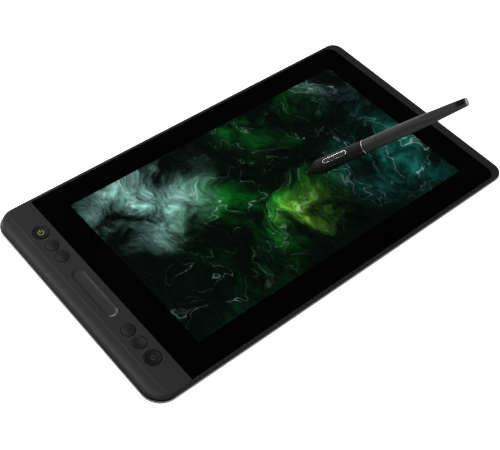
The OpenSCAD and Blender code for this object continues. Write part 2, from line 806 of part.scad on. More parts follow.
module digitizer_ribbon() {
    color([0.85, 0.6, 0.2])
        drop_ribbon(sensing_ribbon_x, key_ribbon_w, digitizer_d / 2 - part_gap, digitizer_z);
}

module key_ribbon() {
    x0 = key_x + key_board_w / 4;
    x1 = board_cx - board_w / 2 + part_gap;
    z1 = key_board_z - ribbon_t;
    color([0.85, 0.6, 0.2]) translate([0, key_ribbon_y - key_ribbon_w / 2, 0]) {
        translate([x0, 0, z1]) cube([x1 - x0, key_ribbon_w, ribbon_t]);
        translate([x1 - ribbon_t, 0, board_top]) cube([ribbon_t, key_ribbon_w, z1 - board_top + ribbon_t]);
        translate([x1 - ribbon_t, 0, board_top]) cube([ribbon_foot, key_ribbon_w, ribbon_t]);
    }
}

module usb_c_socket(side) {
    tongue_len = socket_d - tongue_back;
    color([0.75, 0.75, 0.77]) at_socket(side) {
        difference() {
            linear_extrude(socket_d) stadium(socket_w, socket_h);
            translate([0, 0, -over]) linear_extrude(socket_d + over - socket_wall)
                stadium(socket_w - 2 * socket_wall, socket_h - 2 * socket_wall);
        }
        translate([-tongue_w / 2, -tongue_t / 2, socket_d - tongue_len])
            cube([tongue_w, tongue_t, tongue_len]);
    }
}

module usb_c_socket_1() {
    usb_c_socket(-1);
}

module usb_c_socket_2() {
    usb_c_socket(1);
}

// the keys and what is under them

function cap_r(i) = i == 0 ? power_key_r : i == len(key_ys) - 1 ? mode_key_r : key_r;

module key_cap(i) {
    r = cap_r(i);
    flange_top = strip_z - fit;
    translate([key_x, key_ys[i], 0]) {
        translate([0, 0, flange_top - skin]) cylinder(r = r, h = cap_top - flange_top + skin);
        translate([0, 0, flange_top - key_flange_t]) cylinder(r = r + key_flange_w, h = key_flange_t);
        translate([0, 0, flange_top - key_flange_t - key_stem_len])
            cylinder(r = key_stem_r, h = key_stem_len + skin);
    }
}

// radius of the ball from which a slice r wide and h high is cut
function ball_r(r, h) = (r * r + h * h) / (2 * h);

module dished_cap(i) {
    ball = ball_r(cap_r(i), key_dish);
    difference() {
        key_cap(i);
        translate([key_x, key_ys[i], cap_top - key_dish + ball]) sphere(r = ball);
    }
}

// a key with a sloping rim round a flat floor for its sign
module sunk_cap(i) {
    floor_r = sign_r + sign_room;
    spread = (cap_r(i) - key_rim_w - floor_r) / end_key_dish;
    difference() {
        key_cap(i);
        translate([key_x, key_ys[i], cap_top - end_key_dish])
            cylinder(r1 = floor_r, r2 = floor_r + spread * (end_key_dish + over), h = end_key_dish + over);
    }
}

module domed_cap(i) {
    ball = ball_r(key_r - key_rim_w, key_dome);
    key_cap(i);
    translate([key_x, key_ys[i], 0]) intersection() {
        translate([0, 0, cap_top + key_dome - ball]) sphere(r = ball);
        translate([0, 0, cap_top - skin]) cylinder(r = key_r, h = key_dome + over);
    }
}

module express_key(i) {
    color([0.19, 0.19, 0.2]) if (i == last_key) {
        dished_cap(i);
        translate([key_x, key_ys[i], cap_top - key_dish - key_dot_h])
            cylinder(r = key_dot_r, h = 2 * key_dot_h);
    } else {
        domed_cap(i);
    }
}

module express_key_1() {
    express_key(1);
}

module express_key_2() {
    express_key(2);
}

module express_key_3() {
    express_key(3);
}

module express_key_4() {
    express_key(4);
}

module power_outline(grow) {
    difference() {
        circle(sign_r + grow);
        circle(sign_r - sign_line - grow);
        translate([-sign_break / 2 + grow, 0]) square([sign_break - 2 * grow, sign_r + over]);
    }
    translate([-sign_line / 2 - grow, sign_line - grow]) square([sign_line + 2 * grow, sign_r + 2 * grow]);
}

module mode_outline(grow) {
    difference() {
        circle(mode_sign_r + grow);
        circle(mode_sign_r - sign_line - grow);
    }
}

module on_key(i) {
    translate([key_x, key_ys[i], cap_top - end_key_dish - sign_t]) children();
}

module power_key() {
    color([0.06, 0.06, 0.06]) difference() {
        sunk_cap(0);
        on_key(0) linear_extrude(sign_t + over) power_outline(fit);
    }
}

module power_sign() {
    color([0.75, 0.9, 0.2]) on_key(0) linear_extrude(sign_t) power_outline(0);
}

module mode_key() {
    color([0.1, 0.1, 0.1]) difference() {
        sunk_cap(len(key_ys) - 1);
        on_key(len(key_ys) - 1) linear_extrude(sign_t + over) mode_outline(fit);
    }
}

module mode_sign() {
    color([0.5, 0.5, 0.5]) on_key(len(key_ys) - 1) linear_extrude(sign_t) mode_outline(0);
}

module touch_bar_pad() {
    color([0.15, 0.15, 0.16]) translate([key_x, 0, 0]) {
        translate([0, 0, strip_z - bar_flange_t]) linear_extrude(bar_flange_t) rotate(90)
            stadium(bar_flange_len, bar_w + 2 * bar_flange_w);
        translate([0, 0, strip_z - skin]) linear_extrude(strip_t - bar_depth + skin) rotate(90)
            stadium(bar_len - 2 * seat_gap, bar_w - 2 * seat_gap);
    }
}

module touch_bar_sensor() {
    color([0.1, 0.35, 0.2]) translate([key_x, 0, strip_z - bar_flange_t - bar_sensor_t])
        linear_extrude(bar_sensor_t) rotate(90) stadium(bar_len, bar_w);
}

module key_board() {
    color([0.05, 0.3, 0.15]) difference() {
        translate([key_x - key_board_w / 2, -key_board_d / 2, key_board_z])
            cube([key_board_w, key_board_d, key_board_t]);
        for (y = key_boss_ys)
            translate([key_x, y, key_board_z - over])
                cylinder(r = small_screw_r + fit, h = key_board_t + 2 * over);
    }
}

module key_board_screws() {
    color([0.7, 0.7, 0.7]) for (y = key_boss_ys)
        translate([key_x, y, key_board_z - small_head_h])
            screw(small_head_r, small_head_h, small_screw_r, strip_z - key_board_z - over / 2);
}

module key_switches() {
    color([0.8, 0.8, 0.8]) for (y = key_ys)
        translate([key_x - switch_w / 2, y - switch_w / 2, key_board_top])
            cube([switch_w, switch_w, switch_h]);
}

module power_led() {
    color([0.8, 1, 0.3]) translate([key_x + led_offset - led_w / 2, end_key_y - led_w / 2, key_board_top])
        cube([led_w, led_w, switch_h]);
}

// the pen, built along its own +Z from the nib's point, with the rocker on its +X side

module in_hand() {
    translate([screen_x + pen_x, pen_y, top_z + nib_clear + nib_r * (1 - sin(pen_tilt))])
        rotate([0, 90 - pen_tilt, pen_turn]) rotate(180 + pen_roll) children();
}

module turned(points) {
    rotate_extrude($fn = 96) polygon(points);
}

module tube(r_in, r_out, at, len) {
    translate([0, 0, at]) difference() {
        cylinder(r = r_out, h = len);
        translate([0, 0, -over]) cylinder(r = r_in, h = len + 2 * over);
    }
}

// a stadium that runs along the pen, cut from the axis out to the side of the rocker
module side_stadium(r) {
    translate([0, 0, rocker_at]) rotate([0, 90, 0]) linear_extrude(2 * shoulder_r)
        stadium(2 * (stadium_c + r), 2 * r);
}

// the grip's outside, moved outwards by grow
module grip_solid(grow) {
    ts = [for (i = [0 : shoulder_steps]) i / shoulder_steps];
    turned(concat(
        [[0, cone_end]],
        [for (t = ts) [front_r(t) + grow, cone_end + (shoulder_at - cone_end) * t]],
        [[grip_end_r + grow, grip_end], [0, grip_end]]
    ));
}

module pen_nib() {
    color([0.12, 0.12, 0.12]) in_hand() {
        translate([0, 0, nib_r]) sphere(r = nib_r);
        translate([0, 0, nib_r]) cylinder(r = nib_r, h = nib_len - nib_r);
    }
}

module pen_cone() {
    color([0.14, 0.14, 0.14]) in_hand() difference() {
        union() {
            turned([[0, nib_show], [cone_front_r, nib_show], [cone_end_r, cone_end], [0, cone_end]]);
            translate([0, 0, cone_end - skin]) cylinder(r = cone_plug_r, h = cone_plug_len + skin);
        }
        cylinder(r = nib_r + nib_gap, h = pen_len);
    }
}

module pen_grip() {
    color([0.08, 0.08, 0.08]) in_hand() difference() {
        union() {
            grip_solid(0);
            translate([0, 0, grip_end - skin]) cylinder(r = spigot_r, h = spigot_len + skin);
        }
        cylinder(r = cone_plug_r + fit, h = pen_len);
        translate([0, 0, front_bore_end]) cylinder(r = grip_bore_r, h = bore_end - front_bore_end);
        side_stadium(trim_out_r + fit);
    }
}

module pen_ring() {
    color([0.8, 0.8, 0.82]) in_hand() tube(spigot_r + fit, grip_end_r + ring_proud, ring_at, ring_w);
}

// the side of the facet that is cut away, sunk below the facet by deep
module above_facet(deep) {
    translate([facet_h - deep, 0, pen_len]) rotate([0, -facet_slope, 0])
        translate([0, -pen_len / 2, -pen_len]) cube([pen_len / 2, pen_len, 2 * pen_len]);
}

module tail_form(s0, s1, steps) {
    stations = [for (i = [0 : steps]) s0 + (s1 - s0) * i / steps];
    difference() {
        turned(concat([[0, s0]], [for (s = stations) [barrel_r(s), s]], [[0, s1]]));
        above_facet(0);
    }
}

module tail_pad_prism(grow) {
    translate([0, 0, pen_len - tail_pad_at]) rotate([0, 90, 0]) linear_extrude(shoulder_r)
        stadium(tail_pad_len + 2 * grow, tail_pad_w + 2 * grow);
}

module pen_barrel() {
    dimple_x = barrel_r(dimple_at) - dimple_depth + dimple_ball_r;
    color([0.18, 0.19, 0.18]) in_hand() difference() {
        tail_form(barrel_at, barrel_end, taper_steps);
        translate([0, 0, barrel_at - over])
            cylinder(r = spigot_r + fit, h = spigot_len - ring_w + over + fit);
        translate([0, 0, barrel_at - over])
            cylinder(r = barrel_bore_r, h = pen_len - barrel_at - barrel_solid + over);
        translate([0, 0, barrel_end - end_peg_len - fit]) cylinder(r = end_peg_r + fit, h = pen_len);
        intersection() {
            tail_pad_prism(fit);
            above_facet(tail_pad_t);
        }
        translate([dimple_x, 0, dimple_at]) sphere(r = dimple_ball_r);
    }
}

module pen_tail_pad() {
    color([0.25, 0.25, 0.25]) in_hand() difference() {
        intersection() {
            tail_pad_prism(0);
            above_facet(tail_pad_t);
        }
        above_facet(0);
    }
}

module pen_end_cap() {
    color([0.5, 0.5, 0.5]) in_hand() {
        tail_form(barrel_end, pen_len, 1);
        translate([0, 0, barrel_end - end_peg_len]) cylinder(r = end_peg_r, h = end_peg_len + skin);
    }
}

module pin_line(r, len) {
    translate([rocker_pin_h, len / 2, rocker_at]) rotate([90, 0, 0]) cylinder(r = r, h = len);
}

module pen_rocker() {
    lug_under = rocker_pin_h - rocker_pin_r - lug_wall;
    color([0.16, 0.17, 0.16]) in_hand() difference() {
        intersection() {
            side_stadium(rocker_w / 2);
            grip_solid(rocker_proud);
            union() {
                translate([rocker_under, -rocker_w, rocker_at - rocker_len])
                    cube([shoulder_r, 2 * rocker_w, 2 * rocker_len]);
                translate([lug_under, -rocker_w, rocker_at - rocker_lug_len / 2])
                    cube([shoulder_r, 2 * rocker_w, rocker_lug_len]);
            }
        }
        pin_line(rocker_pin_r + pin_clear, 2 * rocker_w);
    }
}

module pen_rocker_trim() {
    ear_under = rocker_pin_h - rocker_pin_r - ear_wall;
    ear_w = trim_out_r - trim_in_r;
    color([0.78, 0.78, 0.8]) in_hand() difference() {
        intersection() {
            difference() {
                side_stadium(trim_out_r);
                side_stadium(trim_in_r);
            }
            grip_solid(rocker_trim_proud);
            union() {
                difference() {
                    translate([0, -shoulder_r, 0]) cube([2 * shoulder_r, 2 * shoulder_r, pen_len]);
                    grip_solid(rocker_trim_proud - rocker_trim_t);
                }
                for (y = [-trim_out_r, trim_in_r])
                    translate([ear_under, y, rocker_at - ear_len / 2]) cube([shoulder_r, ear_w, ear_len]);
            }
        }
        pin_line(rocker_pin_r + fit, 4 * trim_out_r);
    }
}

module pen_rocker_pin() {
    color([0.7, 0.7, 0.7]) in_hand() pin_line(rocker_pin_r, 2 * trim_out_r);
}

module pen_ferrite() {
    color([0.2, 0.2, 0.2]) in_hand() tube(nib_r + nib_gap, ferrite_r, carrier_at - ferrite_len, ferrite_len);
}

module pen_coil() {
    coil_at = carrier_at - ferrite_len + coil_margin;
    color([0.75, 0.4, 0.2]) in_hand()
        tube(ferrite_r + fit, ferrite_r + coil_t, coil_at, ferrite_len - 2 * coil_margin);
}

module pen_force_sensor() {
    color([0.6, 0.6, 0.6]) in_hand() translate([0, 0, force_at]) cylinder(r = force_r, h = force_len);
}

module pen_carrier() {
    carrier_r = grip_bore_r - fit;
    len = bore_end - carrier_at - fit;
    color([0.35, 0.35, 0.35]) in_hand() difference() {
        translate([0, 0, carrier_at]) cylinder(r = carrier_r, h = len);
        translate([pen_board_h, -shoulder_r, 0]) cube([shoulder_r, 2 * shoulder_r, pen_len]);
        translate([0, 0, carrier_at - over])
            cylinder(r = nib_r + 2 * nib_gap, h = force_at - carrier_at + 2 * over);
        translate([0, 0, force_at - fit]) cylinder(r = force_r + fit, h = force_len + 2 * fit);
    }
}

module pen_board() {
    color([0.05, 0.3, 0.15]) in_hand() translate([pen_board_h, -pen_board_w / 2, carrier_at])
        cube([pen_board_t, pen_board_w, pen_board_end - carrier_at]);
}

module pen_switches() {
    case_top = plunger_top - plunger_len;
    color([0.75, 0.75, 0.75]) in_hand()
        for (s = [-pen_switch_at, pen_switch_at]) translate([0, 0, rocker_at + s]) {
            translate([pen_board_top, -pen_switch_w / 2, -pen_switch_w / 2])
                cube([case_top - pen_board_top, pen_switch_w, pen_switch_w]);
            translate([case_top - skin, 0, 0]) rotate([0, 90, 0])
                cylinder(r = plunger_r, h = plunger_len + skin);
        }
}

front_frame();
cover_glass();
glass_tape();
lcd_cell();
light_guide();
reflector_sheet();
led_bar();
panel_tray();
digitizer_board();
shield_plate();
main_board();
main_board_chips();
display_ribbon();
digitizer_ribbon();
key_ribbon();
key_board();
key_switches();
power_led();
touch_bar_pad();
touch_bar_sensor();
trim_band();
back_cover();
cover_screws();
board_screws();
key_board_screws();
front_foot();
rear_foot();
usb_c_socket_1();
usb_c_socket_2();
power_key();
power_sign();
express_key_1();
express_key_2();
express_key_3();
express_key_4();
mode_key();
mode_sign();
pen_nib();
pen_cone();
pen_grip();
pen_ring();
pen_barrel();
pen_tail_pad();
pen_end_cap();
pen_rocker();
pen_rocker_trim();
pen_rocker_pin();
pen_ferrite();
pen_coil();
pen_force_sensor();
pen_board();
pen_switches();
pen_carrier();
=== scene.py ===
import json
import math
import bmesh
import bpy
from mathutils import Matrix, Quaternion, Vector


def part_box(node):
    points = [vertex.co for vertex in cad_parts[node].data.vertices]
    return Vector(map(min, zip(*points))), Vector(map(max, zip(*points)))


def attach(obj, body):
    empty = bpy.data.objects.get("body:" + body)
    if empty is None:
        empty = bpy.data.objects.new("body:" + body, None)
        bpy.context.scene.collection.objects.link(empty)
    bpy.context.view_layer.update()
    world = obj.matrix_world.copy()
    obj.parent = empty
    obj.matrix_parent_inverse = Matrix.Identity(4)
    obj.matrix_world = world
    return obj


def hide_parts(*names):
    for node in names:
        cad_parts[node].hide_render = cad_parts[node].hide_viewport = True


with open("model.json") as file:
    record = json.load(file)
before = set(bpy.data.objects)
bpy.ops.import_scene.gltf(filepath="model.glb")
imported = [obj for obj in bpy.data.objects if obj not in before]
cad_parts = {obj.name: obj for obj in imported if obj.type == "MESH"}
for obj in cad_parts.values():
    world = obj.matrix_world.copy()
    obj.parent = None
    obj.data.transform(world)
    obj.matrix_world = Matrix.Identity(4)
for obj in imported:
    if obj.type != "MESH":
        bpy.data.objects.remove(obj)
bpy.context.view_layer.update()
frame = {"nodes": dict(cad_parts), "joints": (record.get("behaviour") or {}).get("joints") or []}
cadNodes = frame["nodes"]
joints = {joint["name"]: joint for joint in frame["joints"]}
mm = 0.001
# how far cutters stand past what they cut, and where a soft edge has its middle point
cutOver = 1.0
cutUnder = 3.0
easeShare = 0.3
# distances in metres under which points are joined
ringWeld = 1e-7
spinWeld = 1e-6
quarterTurn = Matrix.Rotation(math.radians(90), 4, "Z")
scene = bpy.context.scene
scene.view_settings.view_transform = "Standard"
print("frame loaded:", len(cadNodes), "CAD nodes")


# box of a CAD node in millimetres
def boxOf(node):
    low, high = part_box(node)
    return Vector(low) / mm, Vector(high) / mm


def clearSelection():
    bpy.ops.object.select_all(action="DESELECT")


def makeActive(obj):
    clearSelection()
    obj.select_set(True)
    bpy.context.view_layer.objects.active = obj


def applyModifier(obj, kind, **settings):
    makeActive(obj)
    modifier = obj.modifiers.new(kind, kind)
    for key, value in settings.items():
        setattr(modifier, key, value)
    bpy.ops.object.modifier_apply(modifier=modifier.name)


# the cutter is used up
def carve(obj, cutter, operation="DIFFERENCE"):
    applyModifier(obj, "BOOLEAN", object=cutter, operation=operation, solver="EXACT")
    bpy.data.objects.remove(cutter)


def roundEdges(obj, width, segments, angle):
    settings = {"width": width * mm, "segments": segments, "angle_limit": math.radians(angle)}
    applyModifier(obj, "BEVEL", limit_method="ANGLE", **settings)


def setInPlace(obj, matrix):
    makeActive(obj)
    obj.matrix_world = matrix
    bpy.ops.object.transform_apply(location=True, rotation=True, scale=True)


def shiftTo(obj, x, y, z=0.0):
    setInPlace(obj, Matrix.Translation(Vector((x, y, z)) * mm))


# smooth shading, finish, and the CAD node and body the piece belongs to
def finishPiece(obj, node, body, finish, angle=32):
    makeActive(obj)
    bpy.ops.object.shade_smooth_by_angle(angle=math.radians(angle))
    applyModifier(obj, "WEIGHTED_NORMAL", keep_sharp=True)
    obj.data.materials.clear()
    obj.data.materials.append(finishes[finish])
    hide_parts(node)
    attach(obj, body)


# outline with round corners; the radii run from the far right corner to the near right one
def cornerRing(xMin, xMax, yMin, yMax, z, radii, steps=12):
    farRight, farLeft, nearLeft, nearRight = radii
    corners = (
        (xMax - farRight, yMax - farRight, farRight, 0),
        (xMin + farLeft, yMax - farLeft, farLeft, 90),
        (xMin + nearLeft, yMin + nearLeft, nearLeft, 180),
        (xMax - nearRight, yMin + nearRight, nearRight, 270),
    )
    ring = []
    for x, y, radius, start in corners:
        for step in range(steps + 1):
            turn = math.radians(start + 90 * step / steps)
            ring.append(Vector((x + radius * math.cos(turn), y + radius * math.sin(turn), z)) * mm)
    return ring


# the same with one radius at each short side
def roundedRing(xMin, xMax, depth, z, leftRadius, rightRadius, steps=12):
    radii = (rightRadius, leftRadius, leftRadius, rightRadius)
    return cornerRing(xMin, xMax, -depth / 2, depth / 2, z, radii, steps)


# outline with half-round ends, along X
def stadiumRing(length, width, z, steps=20):
    ring = []
    for side, start in ((1, -90), (-1, 90)):
        for step in range(steps + 1):
            turn = math.radians(start + 180 * step / steps)
            x = side * (length - width) / 2 + width / 2 * math.cos(turn)
            ring.append(Vector((x, width / 2 * math.sin(turn), z)) * mm)
    return ring


# one face extruded from outline to outline; a closed one comes back to its first outline
def extrudeRings(name, rings, closed=False):
    clearSelection()
    fill = "NOTHING" if closed else "NGON"
    bpy.ops.mesh.primitive_circle_add(vertices=len(rings[0]), radius=mm, fill_type=fill)
    obj = bpy.context.object
    obj.name = name
    for vert, point in zip(obj.data.vertices, rings[0]):
        vert.co = point
    bpy.ops.object.mode_set(mode="EDIT")
    bpy.ops.mesh.select_all(action="SELECT")
    below = rings[0]
    for above in rings[1:] + (rings[:1] if closed else []):
        bpy.ops.mesh.extrude_region_move()
        mesh = bmesh.from_edit_mesh(obj.data)
        for vert in mesh.verts:
            if vert.select:
                spot = min(range(len(below)), key=lambda i: (below[i] - vert.co).length_squared)
                vert.co = above[spot]
        bmesh.update_edit_mesh(obj.data)
        below = above
    bpy.ops.mesh.select_all(action="SELECT")
    bpy.ops.mesh.remove_doubles(threshold=ringWeld)
    bpy.ops.mesh.normals_make_consistent(inside=False)
    bpy.ops.object.mode_set(mode="OBJECT")
    return obj


# a line of points drawn by extruding one vertex, then spun round Z
def spinLine(name, line, steps=96):
    clearSelection()
    bpy.ops.mesh.primitive_plane_add(size=mm)
    obj = bpy.context.object
    obj.name = name
    bpy.ops.object.mode_set(mode="EDIT")
    bpy.ops.mesh.select_all(action="SELECT")
    bpy.ops.mesh.merge(type="CENTER")
    points = [Vector((radius, 0, height)) * mm for radius, height in line]
    bpy.ops.transform.translate(value=points[0])
    for start, end in zip(points, points[1:]):
        bpy.ops.mesh.extrude_region_move(TRANSFORM_OT_translate={"value": end - start})
    bpy.ops.mesh.select_all(action="SELECT")
    bpy.ops.mesh.spin(steps=steps, angle=2 * math.pi, center=(0, 0, 0), axis=(0, 0, 1))
    bpy.ops.mesh.select_all(action="SELECT")
    bpy.ops.mesh.remove_doubles(threshold=spinWeld)
    bpy.ops.mesh.normals_make_consistent(inside=False)
    bpy.ops.object.mode_set(mode="OBJECT")
    return obj


# shares of a run, from nought to one
def sharesOf(steps):
    return [step / steps for step in range(steps + 1)]


# places of a quarter round, from the first axis to the second
def quarter(centre, radius, start, steps):
    turns = [math.radians(start + 90 * i / steps) for i in range(steps + 1)]
    return [(centre[0] + radius * math.cos(a), centre[1] + radius * math.sin(a)) for a in turns]


# camera, set where the photo's long edges run straight along the tablet's
cameraLook = {
    "place": (-411.73, -367.31, 614.27),
    "aim": (-46.0, -3.37, 12.4),
    "roll": 6.74,
    "lens": 70.15,
    "sensor": 36.0,
    "nearest": 0.01,
    "shift": (0.0575, -0.007),
}
bpy.ops.object.camera_add(location=Vector(cameraLook["place"]) * mm)
camera = bpy.context.object
sight = Vector(cameraLook["aim"]) - Vector(cameraLook["place"])
roll = Quaternion((0, 0, 1), math.radians(cameraLook["roll"]))
camera.rotation_mode = "QUATERNION"
camera.rotation_quaternion = sight.to_track_quat("-Z", "Y") @ roll
camera.data.sensor_width = cameraLook["sensor"]
camera.data.lens = cameraLook["lens"]
camera.data.shift_x, camera.data.shift_y = cameraLook["shift"]
camera.data.clip_start = cameraLook["nearest"]
scene.camera = camera
print("camera set")


# sets a node's inputs, by value or by link
def setInputs(tree, node, inputs):
    for key, value in inputs.items():
        if isinstance(value, bpy.types.NodeSocket):
            tree.links.new(value, node.inputs[key])
        else:
            node.inputs[key].default_value = value


def place(tree, kind, inputs=None, **options):
    node = tree.nodes.new(kind)
    for key, value in options.items():
        setattr(node, key, value)
    setInputs(tree, node, inputs or {})
    return node


def mathNode(tree, operation, first, second=0.0):
    return place(tree, "ShaderNodeMath", {0: first, 1: second}, operation=operation).outputs[0]


def mixColours(tree, factor, first, second, blend="MIX"):
    inputs = {"Fac": factor, "Color1": first, "Color2": second}
    return place(tree, "ShaderNodeMixRGB", inputs, blend_type=blend).outputs["Color"]


def mapRange(tree, value, low, high, fromLow=0.0, fromHigh=1.0, kind="LINEAR"):
    inputs = {"Value": value, "From Min": fromLow, "From Max": fromHigh, "To Min": low, "To Max": high}
    return place(tree, "ShaderNodeMapRange", inputs, interpolation_type=kind).outputs["Result"]


def rgba(colour):
    return (*colour, 1.0)


def newMaterial(name):
    material = bpy.data.materials.new(name)
    material.use_nodes = True
    return material, material.node_tree, material.node_tree.nodes["Principled BSDF"]


def objectCoords(tree):
    return place(tree, "ShaderNodeTexCoord").outputs["Object"]


# a place seen from a middle, in units of a reach
def placeFrom(tree, spot, middle, reach=(1, 1, 1)):
    mapping = {"Vector": spot, "Location": middle, "Scale": reach}
    return place(tree, "ShaderNodeMapping", mapping, vector_type="TEXTURE").outputs[0]


def lengthOf(tree, spot):
    return place(tree, "ShaderNodeVectorMath", {0: spot}, operation="LENGTH").outputs["Value"]


def noiseAt(tree, spot, scale, detail=3.0, rough=0.5):
    inputs = {"Vector": spot, "Scale": scale, "Detail": detail, "Roughness": rough}
    return place(tree, "ShaderNodeTexNoise", inputs).outputs


def vectorNode(tree, operation, first, second):
    return place(tree, "ShaderNodeVectorMath", {0: first, 1: second}, operation=operation).outputs[0]


# studio: floor, world and soft lamps
studio = {
    "floorSize": 7.0,
    "floorDrop": 0.2,
    "floorTone": (0.8, 0.8, 0.8),
    "floorPaler": 0.02,
    "floorFibre": (40.0, 4.0),
    "floorRough": 0.9,
    "floorSpecular": 0.1,
    "floorLift": 0.84,
    "worldTone": (0.95, 0.98, 1.0),
    "worldStrength": 0.1,
    # place, size, watts, seen in glossy surfaces
    "lamps": (
        ((-40, 700, 1450), (450, 950), 3.6, True),
        ((-750, -550, 1450), (1300, 1200), 30.0, False),
        ((-400, 1600, 950), (800, 450), 11.0, True),
        ((-1100, 895, 675), (400, 500), 10.0, True),
        ((500, 1500, 260), (900, 300), 8.0, True),
    ),
}


def buildStudio():
    clearSelection()
    spot = (0, 0, -studio["floorDrop"] * mm)
    bpy.ops.mesh.primitive_plane_add(size=studio["floorSize"], location=spot)
    floor = bpy.context.object
    floor.name = "floor"
    material, tree, shader = newMaterial("floorPaper")
    fibre = noiseAt(tree, objectCoords(tree), *studio["floorFibre"])["Fac"]
    paler = tuple(min(1.0, tone + studio["floorPaler"]) for tone in studio["floorTone"])
    path = place(tree, "ShaderNodeLightPath")
    seen = mathNode(tree, "MAXIMUM", path.outputs["Is Camera Ray"], path.outputs["Is Glossy Ray"])
    seen = mathNode(tree, "MAXIMUM", seen, path.outputs["Is Transmission Ray"])
    setInputs(tree, shader, {
        "Base Color": mixColours(tree, fibre, rgba(studio["floorTone"]), rgba(paler)),
        "Roughness": studio["floorRough"],
        "Specular IOR Level": studio["floorSpecular"],
        "Emission Color": (1, 1, 1, 1),
        "Emission Strength": mathNode(tree, "MULTIPLY", seen, studio["floorLift"]),
    })
    floor.data.materials.append(material)
    world = bpy.data.worlds.new("studioWorld")
    world.use_nodes = True
    look = {"Color": rgba(studio["worldTone"]), "Strength": studio["worldStrength"]}
    setInputs(world.node_tree, world.node_tree.nodes["Background"], look)
    scene.world = world
    for spot, size, watts, glossy in studio["lamps"]:
        bpy.ops.object.light_add(type="AREA", location=Vector(spot) * mm)
        lamp = bpy.context.object
        lamp.rotation_mode = "QUATERNION"
        lamp.rotation_quaternion = (-Vector(spot)).to_track_quat("-Z", "Y")
        lamp.data.shape = "RECTANGLE"
        lamp.data.size = size[0] * mm
        lamp.data.size_y = size[1] * mm
        lamp.data.energy = watts
        lamp.visible_glossy = glossy
    print("studio lit by", len(studio["lamps"]), "soft lamps")


buildStudio()


def newGroup(name, inputs, outputs):
    tree = bpy.data.node_groups.new(name, "ShaderNodeTree")
    for label, kind in inputs:
        tree.interface.new_socket(label, in_out="INPUT", socket_type="NodeSocket" + kind)
    for label, kind in outputs:
        tree.interface.new_socket(label, in_out="OUTPUT", socket_type="NodeSocket" + kind)
    return tree, tree.nodes.new("NodeGroupInput").outputs, tree.nodes.new("NodeGroupOutput").inputs


# what the shared effects are made of; a share has its lowest, its highest, and the noise at each
sharedLook = {
    "grainDetail": 2.0,
    "grainPits": 0.6,
    "marksScale": 18.0,
    "marksDetail": 5.0,
    "marksTwist": 0.6,
    "marksShare": (0.0, 0.8, 0.2, 0.8),
    "dust": (900.0, 1.0),
    "dustShare": (0.0, 0.3, 0.6, 0.85),
    "lineDetail": 3.0,
    "plasticDepth": 0.06,
    "metalDepth": 0.02,
}


# fine grain of a moulded or blasted surface
def buildMouldedGrain():
    tree, given, result = newGroup("mouldedGrain", [("Scale", "Float")], [("Grain", "Float")])
    coords = objectCoords(tree)
    fine = noiseAt(tree, coords, given["Scale"], sharedLook["grainDetail"])["Fac"]
    pits = place(tree, "ShaderNodeTexVoronoi", {"Vector": coords, "Scale": given["Scale"]})
    mixed = mathNode(tree, "MULTIPLY_ADD", pits.outputs["Distance"], sharedLook["grainPits"])
    tree.links.new(fine, mixed.node.inputs[2])
    tree.links.new(mixed, result["Grain"])
    return tree


# broad faint marks left by hands and dust
def buildHandlingMarks():
    tree, result = newGroup("handlingMarks", [], [("Marks", "Float")])[::2]
    coords = objectCoords(tree)
    broad = noiseAt(tree, coords, sharedLook["marksScale"], sharedLook["marksDetail"])["Fac"]
    broad.node.inputs["Distortion"].default_value = sharedLook["marksTwist"]
    specks = noiseAt(tree, coords, *sharedLook["dust"])["Fac"]
    dust = mapRange(tree, specks, *sharedLook["dustShare"], "SMOOTHSTEP")
    smear = mapRange(tree, broad, *sharedLook["marksShare"], "SMOOTHSTEP")
    tree.links.new(mathNode(tree, "ADD", smear, dust), result["Marks"])
    return tree


# fine lines drawn along one direction, given by a stretched coordinate
def buildBrushedLines():
    tree, given, result = newGroup("brushedLines", [("Stretch", "Vector")], [("Lines", "Float")])
    drawn = vectorNode(tree, "MULTIPLY", objectCoords(tree), given["Stretch"])
    lines = noiseAt(tree, drawn, 1.0, sharedLook["lineDetail"])["Fac"]
    tree.links.new(lines, result["Lines"])
    return tree


mouldedGrain = buildMouldedGrain()
handlingMarks = buildHandlingMarks()
brushedLines = buildBrushedLines()
print("shared finishes built")


def marksIn(tree):
    return place(tree, "ShaderNodeGroup", node_tree=handlingMarks).outputs["Marks"]


# plastic or rubber: two close tones, marks in the gloss and a moulded grain
def plasticFinish(name, tone, spread, rough, grain, bump, specular):
    material, tree, shader = newMaterial(name)
    pits = place(tree, "ShaderNodeGroup", node_tree=mouldedGrain)
    pits.inputs["Scale"].default_value = grain
    marks = marksIn(tree)
    paler = tuple(spread * part for part in tone)
    depth = sharedLook["plasticDepth"] * mm
    relief = {"Strength": bump, "Distance": depth, "Height": pits.outputs["Grain"]}
    setInputs(tree, shader, {
        "Base Color": mixColours(tree, marks, rgba(tone), rgba(paler)),
        "Roughness": mapRange(tree, marks, *rough),
        "Normal": place(tree, "ShaderNodeBump", relief).outputs["Normal"],
        "Specular IOR Level": specular,
    })
    return material


# metal: tone and gloss follow the brushed lines
def metalFinish(name, tone, spread, rough, stretch, bump):
    material, tree, shader = newMaterial(name)
    lines = place(tree, "ShaderNodeGroup", node_tree=brushedLines)
    lines.inputs["Stretch"].default_value = stretch
    drawn = lines.outputs["Lines"]
    marks = marksIn(tree)
    paler = tuple(spread * part for part in tone)
    inputs = {
        "Base Color": mixColours(tree, drawn, rgba(tone), rgba(paler)),
        "Roughness": mapRange(tree, marks, *rough),
        "Metallic": 1.0,
    }
    if bump:
        relief = {"Strength": bump, "Distance": sharedLook["metalDepth"] * mm, "Height": drawn}
        inputs["Normal"] = place(tree, "ShaderNodeBump", relief).outputs["Normal"]
    setInputs(tree, shader, inputs)
    return material


